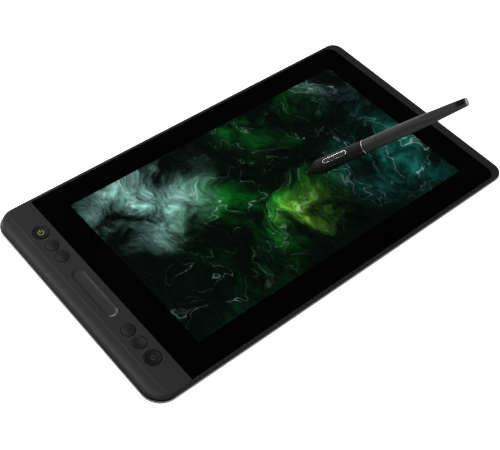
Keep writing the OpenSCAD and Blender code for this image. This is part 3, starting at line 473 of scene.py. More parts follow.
# tone, how much paler it gets, roughness from clean to marked, grain per metre, bump, specular level
plastics = {
    "framePlastic": ((0.0116, 0.0116, 0.0119), 1.15, (0.31, 0.26), 2600, 0.04, 0.25),
    "keyPlastic": ((0.0064, 0.0064, 0.0066), 1.15, (0.34, 0.28), 3200, 0.03, 0.16),
    "keyGloss": ((0.0036, 0.0036, 0.0037), 1.3, (0.34, 0.28), 3200, 0.02, 0.12),
    "touchBarPlastic": ((0.0148, 0.0148, 0.0153), 1.15, (0.32, 0.27), 2200, 0.05, 0.25),
    "coverPlastic": ((0.012, 0.012, 0.0125), 1.3, (0.62, 0.52), 1500, 0.5, 0.3),
    "footRubber": ((0.006, 0.006, 0.006), 1.7, (0.85, 0.7), 900, 0.4, 0.3),
    "tapeBlack": ((0.005, 0.005, 0.005), 1.6, (0.9, 0.8), 1200, 0.4, 0.2),
    "chipBlack": ((0.006, 0.006, 0.0065), 1.8, (0.5, 0.4), 2400, 0.2, 0.4),
    "carrierPlastic": ((0.09, 0.09, 0.09), 1.3, (0.5, 0.4), 1800, 0.2, 0.4),
    "reflectorWhite": ((0.78, 0.79, 0.8), 1.1, (0.6, 0.5), 1800, 0.1, 0.4),
    "nibPlastic": ((0.01, 0.01, 0.01), 1.6, (0.5, 0.4), 4000, 0.1, 0.3),
    "conePlastic": ((0.0045, 0.005, 0.0045), 1.3, (0.5, 0.42), 3200, 0.15, 0.12),
    "gripRubber": ((0.0042, 0.0047, 0.0042), 1.4, (0.62, 0.52), 2600, 0.2, 0.08),
    "barrelPlastic": ((0.0118, 0.013, 0.0124), 1.2, (0.5, 0.44), 3200, 0.08, 0.13),
    "rockerPlastic": ((0.0045, 0.005, 0.0045), 1.3, (0.45, 0.36), 3200, 0.12, 0.12),
    "tailPadRubber": ((0.003, 0.003, 0.003), 1.5, (0.7, 0.6), 2600, 0.3, 0.06),
    "endCapPlastic": ((0.2, 0.2, 0.2), 1.2, (0.5, 0.42), 3200, 0.15, 0.4),
    "signGrey": ((0.06, 0.06, 0.06), 1.4, (0.45, 0.35), 3200, 0.05, 0.3),
    "ribbonAmber": ((0.42, 0.2, 0.03), 1.3, (0.4, 0.3), 600, 0.05, 0.5),
}
# tone, how much paler it gets, roughness from clean to marked, brushed lines per metre, bump
metals = {
    "trimAluminium": ((0.08, 0.0805, 0.0815), 1.2, (0.44, 0.38), (900, 900, 5000), 0.05),
    "ringChrome": ((0.44, 0.44, 0.45), 1.15, (0.3, 0.24), (900, 900, 900), 0),
    "sheetSteel": ((0.5, 0.5, 0.51), 1.2, (0.42, 0.3), (80, 3000, 3000), 0.2),
    "shieldAluminium": ((0.62, 0.62, 0.63), 1.12, (0.4, 0.3), (40, 2500, 2500), 0.2),
    "blackSteel": ((0.04, 0.04, 0.042), 1.7, (0.45, 0.34), (1500, 1500, 1500), 0.15),
    "coilCopper": ((0.5, 0.2, 0.08), 1.4, (0.35, 0.28), (3000, 3000, 3000), 0.2),
}
finishes = {name: plasticFinish(name, *look) for name, look in plastics.items()}
finishes.update({name: metalFinish(name, *look) for name, look in metals.items()})
print("plain finishes:", len(finishes))


# keys: caps with a flange under the frame and a stem
keyShape = {
    "flange": 0.9,
    "flangeThick": 0.6,
    "flangeDrop": 1.8,
    "room": 0.12,
    "dome": 0.4,
    "domeRim": 0.5,
    "dish": 0.4,
    "sunk": 0.32,
    "floorRadius": 2.2,
    "rimRound": 0.35,
    "steps": 9,
    "stemRadius": 1.5,
    "dotRadius": 0.5,
    "dotHeight": 0.42,
    "dotShares": (0, 0.25, 0.5, 0.75, 1),
    # painted highlight on the dot: how far it fades and its tone
    "dotFade": 1.3,
    "dotHighlightTone": (0.045, 0.045, 0.046),
    "shoulderSteps": 4,
    "turns": 72,
}


# the lit picture: drifting smoke in greens with a few bright places and fine threads
picture = {
    "width": 293.8,
    "depth": 165.2,
    "broadStir": (1.1, 0.8),
    "fineStir": (3.0, 0.3),
    "smoke": (1.7, 9.0, 0.62),
    "smokeRange": (0.0, 1.0, 0.4, 0.72),
    "smokePower": 2.0,
    "veil": 0.95,
    "veilRange": (0.05, 1.0, 0.42, 0.58),
    "darkTone": (0.0008, 0.0028, 0.0018),
    "patchPower": 1.6,
    "threadTone": (0.8, 1.15, 1.0),
    "thread": (2.6, 0.009),
    "threadShare": 1.3,
    "brush": 34.0,
    "brushRange": (0.55, 1.4, 0.3, 0.7),
    "brushStretch": (1.0, 0.35, 1.0),
    "sparkTone": (0.6, 1.2, 0.09),
    "sparks": ((0.15, -0.45), (0.6, 0.42)),
    "sparkPower": 1.5,
    "glassRough": (0.1, 0.18),
    "glassTones": ((0.0002, 0.0002, 0.0002), (0.0005, 0.0005, 0.0005)),
    "glassSpecular": 0.05,
    # place across and up, reach across and up, tone
    "glows": (
        ((-1.15, 0.6), (0.95, 0.7), (1.1, 2.3, 2.0)),
        ((-0.3, -0.15), (1.2, 0.95), (0.014, 0.62, 0.05)),
        ((1.4, -0.35), (0.95, 1.1), (0.02, 0.34, 0.28)),
        ((0.6, 0.8), (1.0, 0.7), (0.02, 0.5, 0.06)),
        ((-1.5, -0.8), (0.9, 0.7), (0.015, 0.26, 0.12)),
        ((1.65, 0.85), (0.6, 0.5), (0.4, 0.8, 0.85)),
    ),
}


# noise lies about this value
noiseMiddle = 0.5


# moves a place about by a noise of its own
def stirred(tree, spot, scale, reach):
    drift = vectorNode(tree, "SUBTRACT", noiseAt(tree, spot, scale)["Color"], (noiseMiddle,) * 3)
    return vectorNode(tree, "ADD", spot, vectorNode(tree, "MULTIPLY", drift, (reach, reach, 0)))


# one soft patch, full in its middle
def patchMask(tree, spot, middle, reach):
    near = placeFrom(tree, spot, (*middle, 0), (*reach, 1))
    away = lengthOf(tree, vectorNode(tree, "MULTIPLY", near, (1, 1, 0)))
    return mathNode(tree, "POWER", mapRange(tree, away, 1.0, 0.0), picture["patchPower"])


# thin threads where a noise crosses its middle
def threadMask(tree, spot, scale, width):
    away = mathNode(tree, "SUBTRACT", noiseAt(tree, spot, scale)["Fac"], noiseMiddle)
    away = mathNode(tree, "ABSOLUTE", away)
    return mapRange(tree, away, 1.0, 0.0, 0.0, width)


def screenFinish():
    material, tree, shader = newMaterial("screenGlass")
    low, high = boxOf("cover_glass")
    half = picture["depth"] / 2 * mm
    middle = ((low.x + high.x) / 2 * mm, 0, 0)
    flat = placeFrom(tree, objectCoords(tree), middle, (half, half, 1))
    broad = stirred(tree, flat, *picture["broadStir"])
    fine = stirred(tree, broad, *picture["fineStir"])
    smoke = mapRange(tree, noiseAt(tree, fine, *picture["smoke"])["Fac"], *picture["smokeRange"])
    thick = mathNode(tree, "POWER", smoke, picture["smokePower"])
    veil = mapRange(tree, noiseAt(tree, broad, picture["veil"])["Fac"], *picture["veilRange"])
    body = mathNode(tree, "MULTIPLY", thick, veil)
    colour = rgba(picture["darkTone"])
    lightSum = 0.0
    for spot, reach, tone in picture["glows"]:
        glow = patchMask(tree, broad, spot, reach)
        lightSum = mathNode(tree, "ADD", glow, lightSum)
        colour = mixColours(tree, mathNode(tree, "MULTIPLY", glow, body), colour, rgba(tone), "ADD")
    dense = mathNode(tree, "POWER", body, picture["sparkPower"])
    spark = mathNode(tree, "MULTIPLY", patchMask(tree, fine, *picture["sparks"]), dense)
    colour = mixColours(tree, spark, colour, rgba(picture["sparkTone"]), "ADD")
    share = mathNode(tree, "MULTIPLY", lightSum, thick)
    share = mathNode(tree, "MULTIPLY", share, picture["threadShare"])
    threads = mathNode(tree, "MULTIPLY", threadMask(tree, fine, *picture["thread"]), share)
    colour = mixColours(tree, threads, colour, rgba(picture["threadTone"]), "ADD")
    stroke = vectorNode(tree, "MULTIPLY", fine, picture["brushStretch"])
    brush = mapRange(tree, noiseAt(tree, stroke, picture["brush"])["Fac"], *picture["brushRange"])
    colour = vectorNode(tree, "SCALE", colour, (0, 0, 0))
    tree.links.new(brush, colour.node.inputs["Scale"])
    sides = place(tree, "ShaderNodeSeparateXYZ", {0: flat}).outputs
    halfWide = picture["width"] / picture["depth"]
    wide = mathNode(tree, "LESS_THAN", mathNode(tree, "ABSOLUTE", sides["X"]), halfWide)
    tall = mathNode(tree, "LESS_THAN", mathNode(tree, "ABSOLUTE", sides["Y"]), 1.0)
    lit = mathNode(tree, "MULTIPLY", wide, tall)
    marks = marksIn(tree)
    clean, marked = picture["glassTones"]
    setInputs(tree, shader, {
        "Emission Color": mixColours(tree, lit, (0, 0, 0, 1), colour),
        "Emission Strength": 1.0,
        "Roughness": mapRange(tree, marks, *picture["glassRough"]),
        "Base Color": mixColours(tree, marks, rgba(clean), rgba(marked)),
        "Specular IOR Level": picture["glassSpecular"],
    })
    return material


# share of a round spot on top of a CAD node: full inside the core and gone at the reach
def spotShare(tree, node, core, reach):
    low, high = boxOf(node)
    middle = Vector(((low.x + high.x) / 2, (low.y + high.y) / 2, high.z))
    away = lengthOf(tree, placeFrom(tree, objectCoords(tree), middle * mm))
    return mapRange(tree, away, 1.0, 0.0, core * mm, reach * mm)


# the power sign's light: brighter in the middle, with a painted glow of it in the key round it
signLight = {
    "reach": 4.0,
    "edgeTone": (0.14, 0.16, 0.05),
    "coreTone": (0.42, 0.47, 0.22),
    "strength": 0.6,
    "rough": 0.3,
    # painted glow of the sign in the key round it: its reach, fade and tone
    "keyReach": 6.5,
    "keyFade": 2.0,
    "keyGlowTone": (0.02, 0.022, 0.001),
}


def litSignFinish():
    material, tree, shader = newMaterial("signLit")
    share = spotShare(tree, "power_sign", 0.0, signLight["reach"])
    glow = mixColours(tree, share, rgba(signLight["edgeTone"]), rgba(signLight["coreTone"]))
    setInputs(tree, shader, {
        "Emission Color": glow,
        "Base Color": glow,
        "Emission Strength": signLight["strength"],
        "Roughness": signLight["rough"],
    })
    return material


# the power key is the end keys' plastic with the sign's light painted into it as a glow round the sign
def paintedGlowKey(name):
    material = plasticFinish(name, *plastics["keyGloss"])
    tree = material.node_tree
    shader = tree.nodes["Principled BSDF"]
    share = spotShare(tree, "power_sign", 0.0, signLight["keyReach"])
    share = mathNode(tree, "POWER", share, signLight["keyFade"])
    paintedGlow = mixColours(tree, share, (0, 0, 0, 1), rgba(signLight["keyGlowTone"]))
    setInputs(tree, shader, {"Emission Color": paintedGlow, "Emission Strength": 1.0})
    return material


# the last plain key is the keys' plastic with a painted highlight on its dot: paler in the middle,
# fading out
def dotKey(name, node):
    material = plasticFinish(name, *plastics["keyPlastic"])
    tree = material.node_tree
    colour = tree.nodes["Principled BSDF"].inputs["Base Color"]
    plain = colour.links[0].from_socket
    dot = spotShare(tree, node, keyShape["dotRadius"], keyShape["dotFade"] * keyShape["dotRadius"])
    tree.links.new(mixColours(tree, dot, plain, rgba(keyShape["dotHighlightTone"])), colour)
    return material


# green board with paler copper runs under the mask and gold pads
boardLook = {
    "runs": {"Scale": 160.0, "Mortar Size": 0.09, "Bias": 0.2},
    "runTones": ((0.004, 0.07, 0.03), (0.012, 0.13, 0.06)),
    "padScale": 420.0,
    "padEdge": (0.12, 0.16),
    "padTone": (0.5, 0.42, 0.2),
    "rough": (0.4, 0.25),
}


def boardFinish():
    material, tree, shader = newMaterial("circuitBoard")
    coords = objectCoords(tree)
    runs = place(tree, "ShaderNodeTexBrick", {"Vector": coords, **boardLook["runs"]})
    cells = place(tree, "ShaderNodeTexVoronoi", {"Vector": coords, "Scale": boardLook["padScale"]})
    pads = mapRange(tree, cells.outputs["Distance"], 1.0, 0.0, *boardLook["padEdge"])
    mask, run = boardLook["runTones"]
    green = mixColours(tree, runs.outputs["Fac"], rgba(mask), rgba(run))
    tone = mixColours(tree, pads, green, rgba(boardLook["padTone"]))
    tree.links.new(tone, shader.inputs["Base Color"])
    tree.links.new(mapRange(tree, pads, *boardLook["rough"]), shader.inputs["Roughness"])
    return material


# thin glass or acrylic sheets with a faint sparkle of dots: tone, paler tone, dots per metre
sheetGlass = {
    "panelGlass": ((0.006, 0.014, 0.014), (0.012, 0.024, 0.024), 3000.0),
    "clearAcrylic": ((0.7, 0.76, 0.76), (0.86, 0.9, 0.9), 900.0),
}
sheetDots = {"edge": (0.15, 0.3), "rough": (0.08, 0.3)}


def sheetGlassFinish(name, tone, paler, dots):
    material, tree, shader = newMaterial(name)
    cells = place(tree, "ShaderNodeTexVoronoi", {"Vector": objectCoords(tree), "Scale": dots})
    near = mapRange(tree, cells.outputs["Distance"], 1.0, 0.0, *sheetDots["edge"])
    tree.links.new(mixColours(tree, near, rgba(tone), rgba(paler)), shader.inputs["Base Color"])
    tree.links.new(mapRange(tree, near, *sheetDots["rough"]), shader.inputs["Roughness"])
    return material


# yellow LED packages in a row
ledLook = {
    "row": 90.0,
    "edge": (0.45, 0.55),
    "tones": ((0.75, 0.74, 0.68), (0.8, 0.62, 0.12)),
    "rough": (0.5, 0.25),
}


def ledFinish():
    material, tree, shader = newMaterial("ledStrip")
    inputs = {"Vector": objectCoords(tree), "Scale": ledLook["row"]}
    row = place(tree, "ShaderNodeTexWave", inputs, bands_direction="X")
    packages = mapRange(tree, row.outputs["Fac"], 0.0, 1.0, *ledLook["edge"])
    strip, package = ledLook["tones"]
    tree.links.new(mixColours(tree, packages, rgba(strip), rgba(package)), shader.inputs["Base Color"])
    tree.links.new(mapRange(tree, packages, *ledLook["rough"]), shader.inputs["Roughness"])
    return material


finishes["screenGlass"] = screenFinish()
finishes["signLit"] = litSignFinish()
finishes["powerKeyPlastic"] = paintedGlowKey("powerKeyPlastic")
finishes["dotKeyPlastic"] = dotKey("dotKeyPlastic", "express_key_4")
finishes["circuitBoard"] = boardFinish()
finishes.update({name: sheetGlassFinish(name, *look) for name, look in sheetGlass.items()})
finishes["ledStrip"] = ledFinish()
print("screen picture and inner finishes built")


# front frame: a flat top with a crease, falling to its edge in a soft curve
caseCorners = (17.0, 10.0)
frameShape = {
    "creaseRadius": 9.5,
    "leftSlope": 12.6,
    "lip": 0.5,
    "edgeHeight": 1.9,
    "leftEase": 0.75,
    "farReach": 0.4,
    "rightReach": 0.2,
    "edgeFace": 0.05,
    "edgeBevel": 0.05,
    "edgeUnder": 0.7,
    "stepWidth": 0.35,
    "stepDrop": 0.05,
    "slopeSteps": 32,
    "slopeFall": 1.15,
    "slopePower": 4.5,
    "gentle": 0.1,
    "rightPower": 6.0,
    "nearPower": 1.6,
    "farPower": 10.0,
    "hold": 0.3,
    "skirtInset": 2.15,
    "skirtDepth": 0.9,
    "topThickness": 1.6,
    "windowMargin": 0.95,
    "windowCorner": 0.5,
    "windowOver": 2.0,
    "windowSteps": 2,
    "cavityLeft": 3.6,
    "cavityWall": 1.5,
    "cavityRadius": 1.4,
    "cavitySteps": 6,
    "glassGap": 0.15,
    "glassLeftRadius": 0.4,
    "glassRadius": 9.0,
    "glassSoft": 0.18,
    "keyGap": 0.35,
    "keyTurns": 64,
    # width, segments, angle
    "edgeRound": (0.16, 2, 40),
    "smoothAngle": 14,
}
barShape = {
    "flange": 1.3,
    "gap": 0.15,
    "flangeThick": 0.8,
    "edgeRound": 0.12,
    "sunk": 0.06,
    "sideRun": 1.1,
    "endRun": 1.5,
    "sideSteps": 10,
    "hollow": 0.1,
    "hollowRun": 2.0,
}
expressKeys = ["express_key_1", "express_key_2", "express_key_3", "express_key_4"]
keyNodes = ["power_key"] + expressKeys + ["mode_key"]


# middle and cap radius of a key, from its CAD node
def keyPlace(node):
    low, high = boxOf(node)
    return (low.x + high.x) / 2, (low.y + high.y) / 2, (high.x - low.x) / 2 - keyShape["flange"]


# an outline's left, right and depth, drawn in on every side
def shrunk(outline, inset):
    return outline[0] + inset, outline[1] - inset, outline[2] - 2 * inset


def glassRing(grow, z):
    low, high = boxOf("cover_glass")
    radii = (frameShape["glassLeftRadius"] + grow, frameShape["glassRadius"] + grow)
    return roundedRing(low.x - grow, high.x + grow, high.y - low.y + 2 * grow, z, *radii)


# how far the slope beside the keys has fallen at a share of its run
def slopeDrop(run):
    shape = frameShape
    fall = shape["gentle"] * run + (1 - shape["gentle"]) * run ** shape["slopePower"]
    return shape["stepDrop"] + shape["slopeFall"] * fall


# outlines from the edge up to the crease: the right and far rims stay flat for longer
def slopeRings(outer, crease, top):
    shape = frameShape
    leftCorner, rightCorner = caseCorners
    leftRim = crease[0] - outer[0]
    longRim = (outer[2] - crease[2]) / 2
    bend = (shape["creaseRadius"] - leftCorner + leftRim) / longRim
    rings = []
    for run in reversed(sharesOf(shape["slopeSteps"])):
        drop = slopeDrop(run)
        stay = 1 - drop / slopeDrop(1.0)
        leftInset = (leftRim - shape["stepWidth"]) * (1 - run)
        spread = stay ** shape["rightPower"]
        rightInset = (outer[1] + shape["rightReach"] - crease[1]) * spread
        nearInset = longRim * stay ** shape["nearPower"]
        farInset = (longRim + shape["farReach"]) * stay ** shape["farPower"]
        rightRadius = rightCorner + (shape["creaseRadius"] - rightCorner) * spread
        leftRadius = leftCorner - leftInset
        radii = (rightRadius, leftRadius + bend * farInset, leftRadius + bend * nearInset, rightRadius)
        sides = (outer[0] + leftInset, outer[1] + shape["rightReach"] - rightInset)
        ends = (nearInset - outer[2] / 2, outer[2] / 2 + shape["farReach"] - farInset)
        rings.append(cornerRing(*sides, *ends, top - drop, radii))
    return rings


# the frame's outermost outline, which covers the band on the far and right sides
def edgeRing(outer, inset, z):
    right = outer[1] + frameShape["rightReach"] - inset
    far = outer[2] / 2 + frameShape["farReach"] - inset
    leftCorner, rightCorner = caseCorners
    radii = (rightCorner, leftCorner, leftCorner, rightCorner)
    return cornerRing(outer[0] + inset, right, inset - outer[2] / 2, far, z, radii)


def buildFrontFrame():
    shape = frameShape
    low, high = boxOf("front_frame")
    glassLow, glassHigh = boxOf("cover_glass")
    top = high.z
    foot = top - shape["edgeHeight"]
    outer = (low.x + shape["leftEase"], high.x, high.y - low.y)
    crease = (low.x + shape["leftSlope"], glassHigh.x + shape["lip"], 2 * (glassHigh.y + shape["lip"]))
    skirt = shrunk(outer, shape["skirtInset"])
    bevel = shape["edgeBevel"]
    edge = top - slopeDrop(1.0) - shape["edgeFace"]
    rings = [
        roundedRing(*skirt, foot - shape["skirtDepth"], *caseCorners),
        roundedRing(*skirt, foot, *caseCorners),
        roundedRing(*shrunk(outer, shape["edgeUnder"]), foot, *caseCorners),
        edgeRing(outer, bevel, edge - bevel),
        edgeRing(outer, 0.0, edge),
    ]
    rings += slopeRings(outer, crease, top)
    for hold in (0.0, shape["hold"]):
        radius = shape["creaseRadius"] - hold
        rings.append(roundedRing(*shrunk(crease, hold), top, radius, radius))
    obj = extrudeRings("frontFrame", rings)
    ledge = boxOf("glass_tape")[0].z
    levels = (ledge, top + cutOver)
    carve(obj, extrudeRings("glassPocket", [glassRing(shape["glassGap"], z) for z in levels]))
    cellLow, cellHigh = boxOf("panel_tray")
    margin = shape["windowMargin"]
    window = (cellLow.x - margin, cellHigh.x + margin, cellHigh.y - cellLow.y + 2 * margin)
    corner = (shape["windowCorner"], shape["windowCorner"], shape["windowSteps"])
    levels = (ledge - cutUnder, top + shape["windowOver"])
    carve(obj, extrudeRings("window", [roundedRing(*window, z, *corner) for z in levels]))
    wall = shape["cavityLeft"]
    cavity = (low.x + wall, glassLow.x - shape["cavityWall"], outer[2] - 2 * wall)
    corners = (caseCorners[0] - shape["cavityRadius"], shape["cavityRadius"], shape["cavitySteps"])
    levels = (foot - cutUnder, top - shape["topThickness"])
    carve(obj, extrudeRings("stripCavity", [roundedRing(*cavity, z, *corners) for z in levels]))
    levels = (foot - cutUnder, top + cutOver)
    for node in keyNodes:
        x, y, radius = keyPlace(node)
        radius += shape["keyGap"]
        line = [(0, levels[0]), (radius, levels[0]), (radius, levels[1]), (0, levels[1])]
        hole = spinLine("keyHole", line, shape["keyTurns"])
        shiftTo(hole, x, y)
        carve(obj, hole)
    padLow, padHigh = boxOf("touch_bar_pad")
    length = padHigh.y - padLow.y - 2 * barShape["flange"]
    width = padHigh.x - padLow.x - 2 * barShape["flange"]
    slot = extrudeRings("slot", [stadiumRing(length, width, z) for z in levels])
    setInPlace(slot, Matrix.Translation(Vector(((padLow.x + padHigh.x) / 2, 0, 0)) * mm) @ quarterTurn)
    carve(obj, slot)
    roundEdges(obj, *shape["edgeRound"])
    finishPiece(obj, "front_frame", "tablet", "framePlastic", shape["smoothAngle"])


def buildCoverGlass():
    low, high = boxOf("cover_glass")
    soft = frameShape["glassSoft"]
    ease = soft * easeShare
    levels = [(0, low.z), (0, high.z - soft), (-ease, high.z - ease), (-soft, high.z)]
    obj = extrudeRings("coverGlass", [glassRing(grow, z) for grow, z in levels])
    finishPiece(obj, "cover_glass", "tablet", "screenGlass")


# trim band: a satin bar run round the case, its top falling inwards to a dark seam
bandShape = {
    "round": 0.35,
    "edge": 0.45,
    "recess": 0.95,
    "fall": 0.6,
    "lipTop": 0.02,
    "depth": 2.5,
    "steps": 5,
    "smoothAngle": 40,
}


# openings of the two sockets, through the band and the cover
def carveMouths(obj):
    gap = 2 * coverShape["socketGap"]
    upright = Matrix.Rotation(math.radians(90), 4, "X")
    for node in ("usb_c_socket_1", "usb_c_socket_2"):
        low, high = boxOf(node)
        length = high.x - low.x + gap
        width = high.z - low.z + gap
        reach = coverShape["mouthReach"]
        steps = coverShape["mouthSteps"]
        mouth = extrudeRings("mouth", [stadiumRing(length, width, z, steps) for z in (-reach, reach)])
        spot = Vector(((low.x + high.x) / 2, high.y, (low.z + high.z) / 2)) * mm
        setInPlace(mouth, Matrix.Translation(spot) @ upright)
        carve(obj, mouth)


def buildTrimBand():
    low, high = boxOf("trim_band")
    soft = bandShape["round"]
    section = [(bandShape["depth"], low.z)]
    section += [(soft - c, low.z + soft + s) for c, s in quarter((0, 0), soft, -90, bandShape["steps"])]
    lip = high.z - bandShape["lipTop"]
    edge = bandShape["edge"]
    section += [(edge - c, lip - edge + s) for c, s in quarter((0, 0), edge, 0, bandShape["steps"])]
    section += [(bandShape["recess"], lip - bandShape["fall"])]
    section += [(bandShape["recess"], high.z), (bandShape["depth"], high.z)]
    outline = (low.x, high.x, high.y - low.y)
    rings = [roundedRing(*shrunk(outline, inset), z, *caseCorners) for inset, z in section]
    obj = extrudeRings("trimBand", rings, closed=True)
    carveMouths(obj)
    finishPiece(obj, "trim_band", "tablet", "trimAluminium", bandShape["smoothAngle"])


# back cover: a shallow tray whose sides turn under in one curve
coverShape = {
    "rimInset": 0.12,
    "bottomInset": 10.0,
    "curve": 2.1,
    "steps": 12,
    "wall": 1.6,
    "innerShares": (1.0, 0.6, 0.3, 0.0),
    "screwColumns": 4,
    "screwHead": 1.9,
    "screwGap": 0.05,
    "screwSink": 2.4,
    "screwTurns": 32,
    "footDepth": 0.6,
    "fit": 0.05,
    "socketGap": 0.15,
    "mouthReach": 8,
    "mouthSteps": 12,
    "edgeRound": (0.2, 2, 45),
    "smoothAngle": 26,
}


def buildBackCover():
    shape = coverShape
    low, high = boxOf("back_cover")
    bandLow, bandHigh = boxOf("trim_band")
    tall = high.z - low.z

    def ring(inset, z):
        outline = (bandLow.x, bandHigh.x, bandHigh.y - bandLow.y)
        return roundedRing(*shrunk(outline, inset), z, *caseCorners)

    def insetAt(share):
        spread = shape["bottomInset"] - shape["rimInset"]
        return shape["rimInset"] + spread * (1 - share) ** shape["curve"]

    rings = [ring(insetAt(share), low.z + tall * share) for share in sharesOf(shape["steps"])]
    wall = shape["wall"]
    floor = low.z + wall
    for share in shape["innerShares"]:
        rings.append(ring(insetAt(share) + wall, floor + (high.z - floor) * share))
    obj = extrudeRings("backCover", rings)
    for node in ("front_foot", "rear_foot"):
        footLow, footHigh = boxOf(node)
        length = footHigh.x - footLow.x + 2 * shape["fit"]
        width = footHigh.y - footLow.y + 2 * shape["fit"]
        levels = (low.z - cutOver, low.z + shape["footDepth"])
        seat = extrudeRings("footSeat", [stadiumRing(length, width, z) for z in levels])
        shiftTo(seat, 0, (footLow.y + footHigh.y) / 2)
        carve(obj, seat)
    screwLow, screwHigh = boxOf("cover_screws")
    head = shape["screwHead"]
    bore = head + shape["screwGap"]
    deep = low.z + shape["screwSink"]
    line = [(0, -cutOver), (bore, -cutOver), (bore, deep), (0, deep)]
    last = shape["screwColumns"] - 1
    for column in range(shape["screwColumns"]):
        x = screwLow.x + head + (screwHigh.x - screwLow.x - 2 * head) * column / last
        for y in (screwLow.y + head, screwHigh.y - head):
            seat = spinLine("screwSeat", line, shape["screwTurns"])
            shiftTo(seat, x, y)
            carve(obj, seat)
    carveMouths(obj)
    roundEdges(obj, *shape["edgeRound"])
    finishPiece(obj, "back_cover", "tablet", "coverPlastic", shape["smoothAngle"])


# rubber feet: long strips with round edges and three shallow grooves
footShape = {
    "edgeRound": 0.35,
    "grooves": 3,
    "grooveWidth": 1.1,
    "grooveDepth": 0.25,
    "grooveSteps": 8,
}


def buildFoot(name, node):
    low, high = boxOf(node)
    length = high.x - low.x
    width = high.y - low.y
    soft = footShape["edgeRound"]
    ease = soft * easeShare
    levels = [(0, high.z), (0, low.z + soft), (ease, low.z + ease), (soft, low.z)]
    obj = extrudeRings(name, [stadiumRing(length - 2 * i, width - 2 * i, z) for i, z in levels])
    count = footShape["grooves"]
    wide = footShape["grooveWidth"]
    steps = footShape["grooveSteps"]
    levels = (low.z - cutOver, low.z + footShape["grooveDepth"])
    for number in range(count):
        across = (number - (count - 1) / 2) * width / (count + 1)
        groove = extrudeRings("groove", [stadiumRing(length - width, wide, z, steps) for z in levels])
        shiftTo(groove, 0, across)
        carve(obj, groove)
    shiftTo(obj, 0, (low.y + high.y) / 2)
    finishPiece(obj, node, "tablet", "footRubber")


buildFrontFrame()
buildCoverGlass()
buildTrimBand()
buildBackCover()
buildFoot("frontFoot", "front_foot")
buildFoot("rearFoot", "rear_foot")
print("case modelled")


# side and underside of a key, from the cap's shoulder down to its stem
def keyUnder(radius, top, bottom):
    shape = keyShape
    flangeTop = top - shape["flangeDrop"]
    flangeBottom = flangeTop - shape["flangeThick"]
    return [
        (radius, flangeTop),
        (radius + shape["flange"], flangeTop),
        (radius + shape["flange"], flangeBottom),
        (shape["stemRadius"], flangeBottom),
        (shape["stemRadius"], bottom),
        (0, bottom),
    ]


def shoulder(radius, top):
    soft = keyShape["rimRound"]
    return quarter((radius - soft, top - soft), soft, 0, keyShape["shoulderSteps"])[::-1]


# one key spun from its top's line, closed by its shoulder and its underside
def spinKey(name, node, finish, topLine, rimTop, bottom):
    x, y, radius = keyPlace(node)
    radius -= keyShape["room"]
    line = topLine + shoulder(radius, rimTop) + keyUnder(radius, rimTop, bottom)
    obj = spinLine(name, line, keyShape["turns"])
    shiftTo(obj, x, y)
    finishPiece(obj, node, node, finish)


# line of a round top, hollow where its rise is below nought
def roundTop(reach, rimTop, rise):
    shares = sharesOf(keyShape["steps"])
    return [(reach * share, rimTop + rise * (1 - share * share)) for share in shares]


# plain keys with a low dome, the last one hollow with a dot to feel for
def buildExpressKeys():
    shape = keyShape
    for node in expressKeys:
        low, high = boxOf(node)
        radius = keyPlace(node)[2] - shape["room"]
        rimTop = high.z - shape["dome"]
        topLine = roundTop(radius - shape["domeRim"], rimTop, shape["dome"])
        if node == expressKeys[-1]:
            rimTop = high.z
            dot = shape["dotRadius"]
            floor = rimTop - shape["dish"]
            hollow = roundTop(radius - shape["rimRound"], rimTop, -shape["dish"])[:-1]
            topLine = [(dot * s, floor + shape["dotHeight"] * (1 - s * s)) for s in shape["dotShares"]]
            topLine += [spot for spot in hollow if spot[0] > dot]
        finish = "dotKeyPlastic" if node == expressKeys[-1] else "keyPlastic"
        name = node.replace("express_key_", "expressKey")
        spinKey(name, node, finish, topLine, rimTop, low.z)


# power and mode keys: a flat floor for the sign, rising to the rim in a soft curve
def buildEndKey(name, node, finish):
    shape = keyShape
    low, high = boxOf(node)
    reach = keyPlace(node)[2] - shape["room"] - shape["rimRound"]
    topLine = [(0, high.z - shape["sunk"])]
    rise = reach - shape["floorRadius"]
    for share in sharesOf(shape["steps"])[:-1]:
        drop = shape["sunk"] * (1 - share * share)
        topLine.append((shape["floorRadius"] + rise * share, high.z - drop))
    spinKey(name, node, finish, topLine, high.z, low.z)


# signs: a broken ring with a bar for power, a ring of two arcs for the mode
signShape = {
    "powerRadius": 2.5,
    "powerLine": 0.36,
    "powerBreak": 3.5,
    "barFrom": 0.7,
    "barTo": 3.0,
    "modeRadius": 1.75,
    "modeLine": 0.32,
    "modeBreak": 0.9,
    "modeTurn": 50,
    "thick": 0.2,
    "soft": 0.06,
    "gapFrom": 0.2,
    "barSteps": 8,
    "turns": 56,
}


def signRing(name, radius, line):
    soft = signShape["soft"]
    inner = radius - line
    thick = signShape["thick"]
    section = [(inner, 0), (radius, 0), (radius, thick - soft), (radius - soft, thick)]
    section += [(inner + soft, thick), (inner, thick - soft)]
    return spinLine(name, section + section[:1], signShape["turns"])


def signBar(name, width, start, end, low, high):
    steps = signShape["barSteps"]
    obj = extrudeRings(name, [stadiumRing(end - start, width, z, steps) for z in (low, high)])
    setInPlace(obj, Matrix.Translation(Vector((0, (start + end) / 2, 0)) * mm) @ quarterTurn)
    return obj


def finishSign(obj, node, body, finish):
    x, y = keyPlace(body)[:2]
    shiftTo(obj, x, y, boxOf(node)[1].z - signShape["thick"])
    finishPiece(obj, node, body, finish)


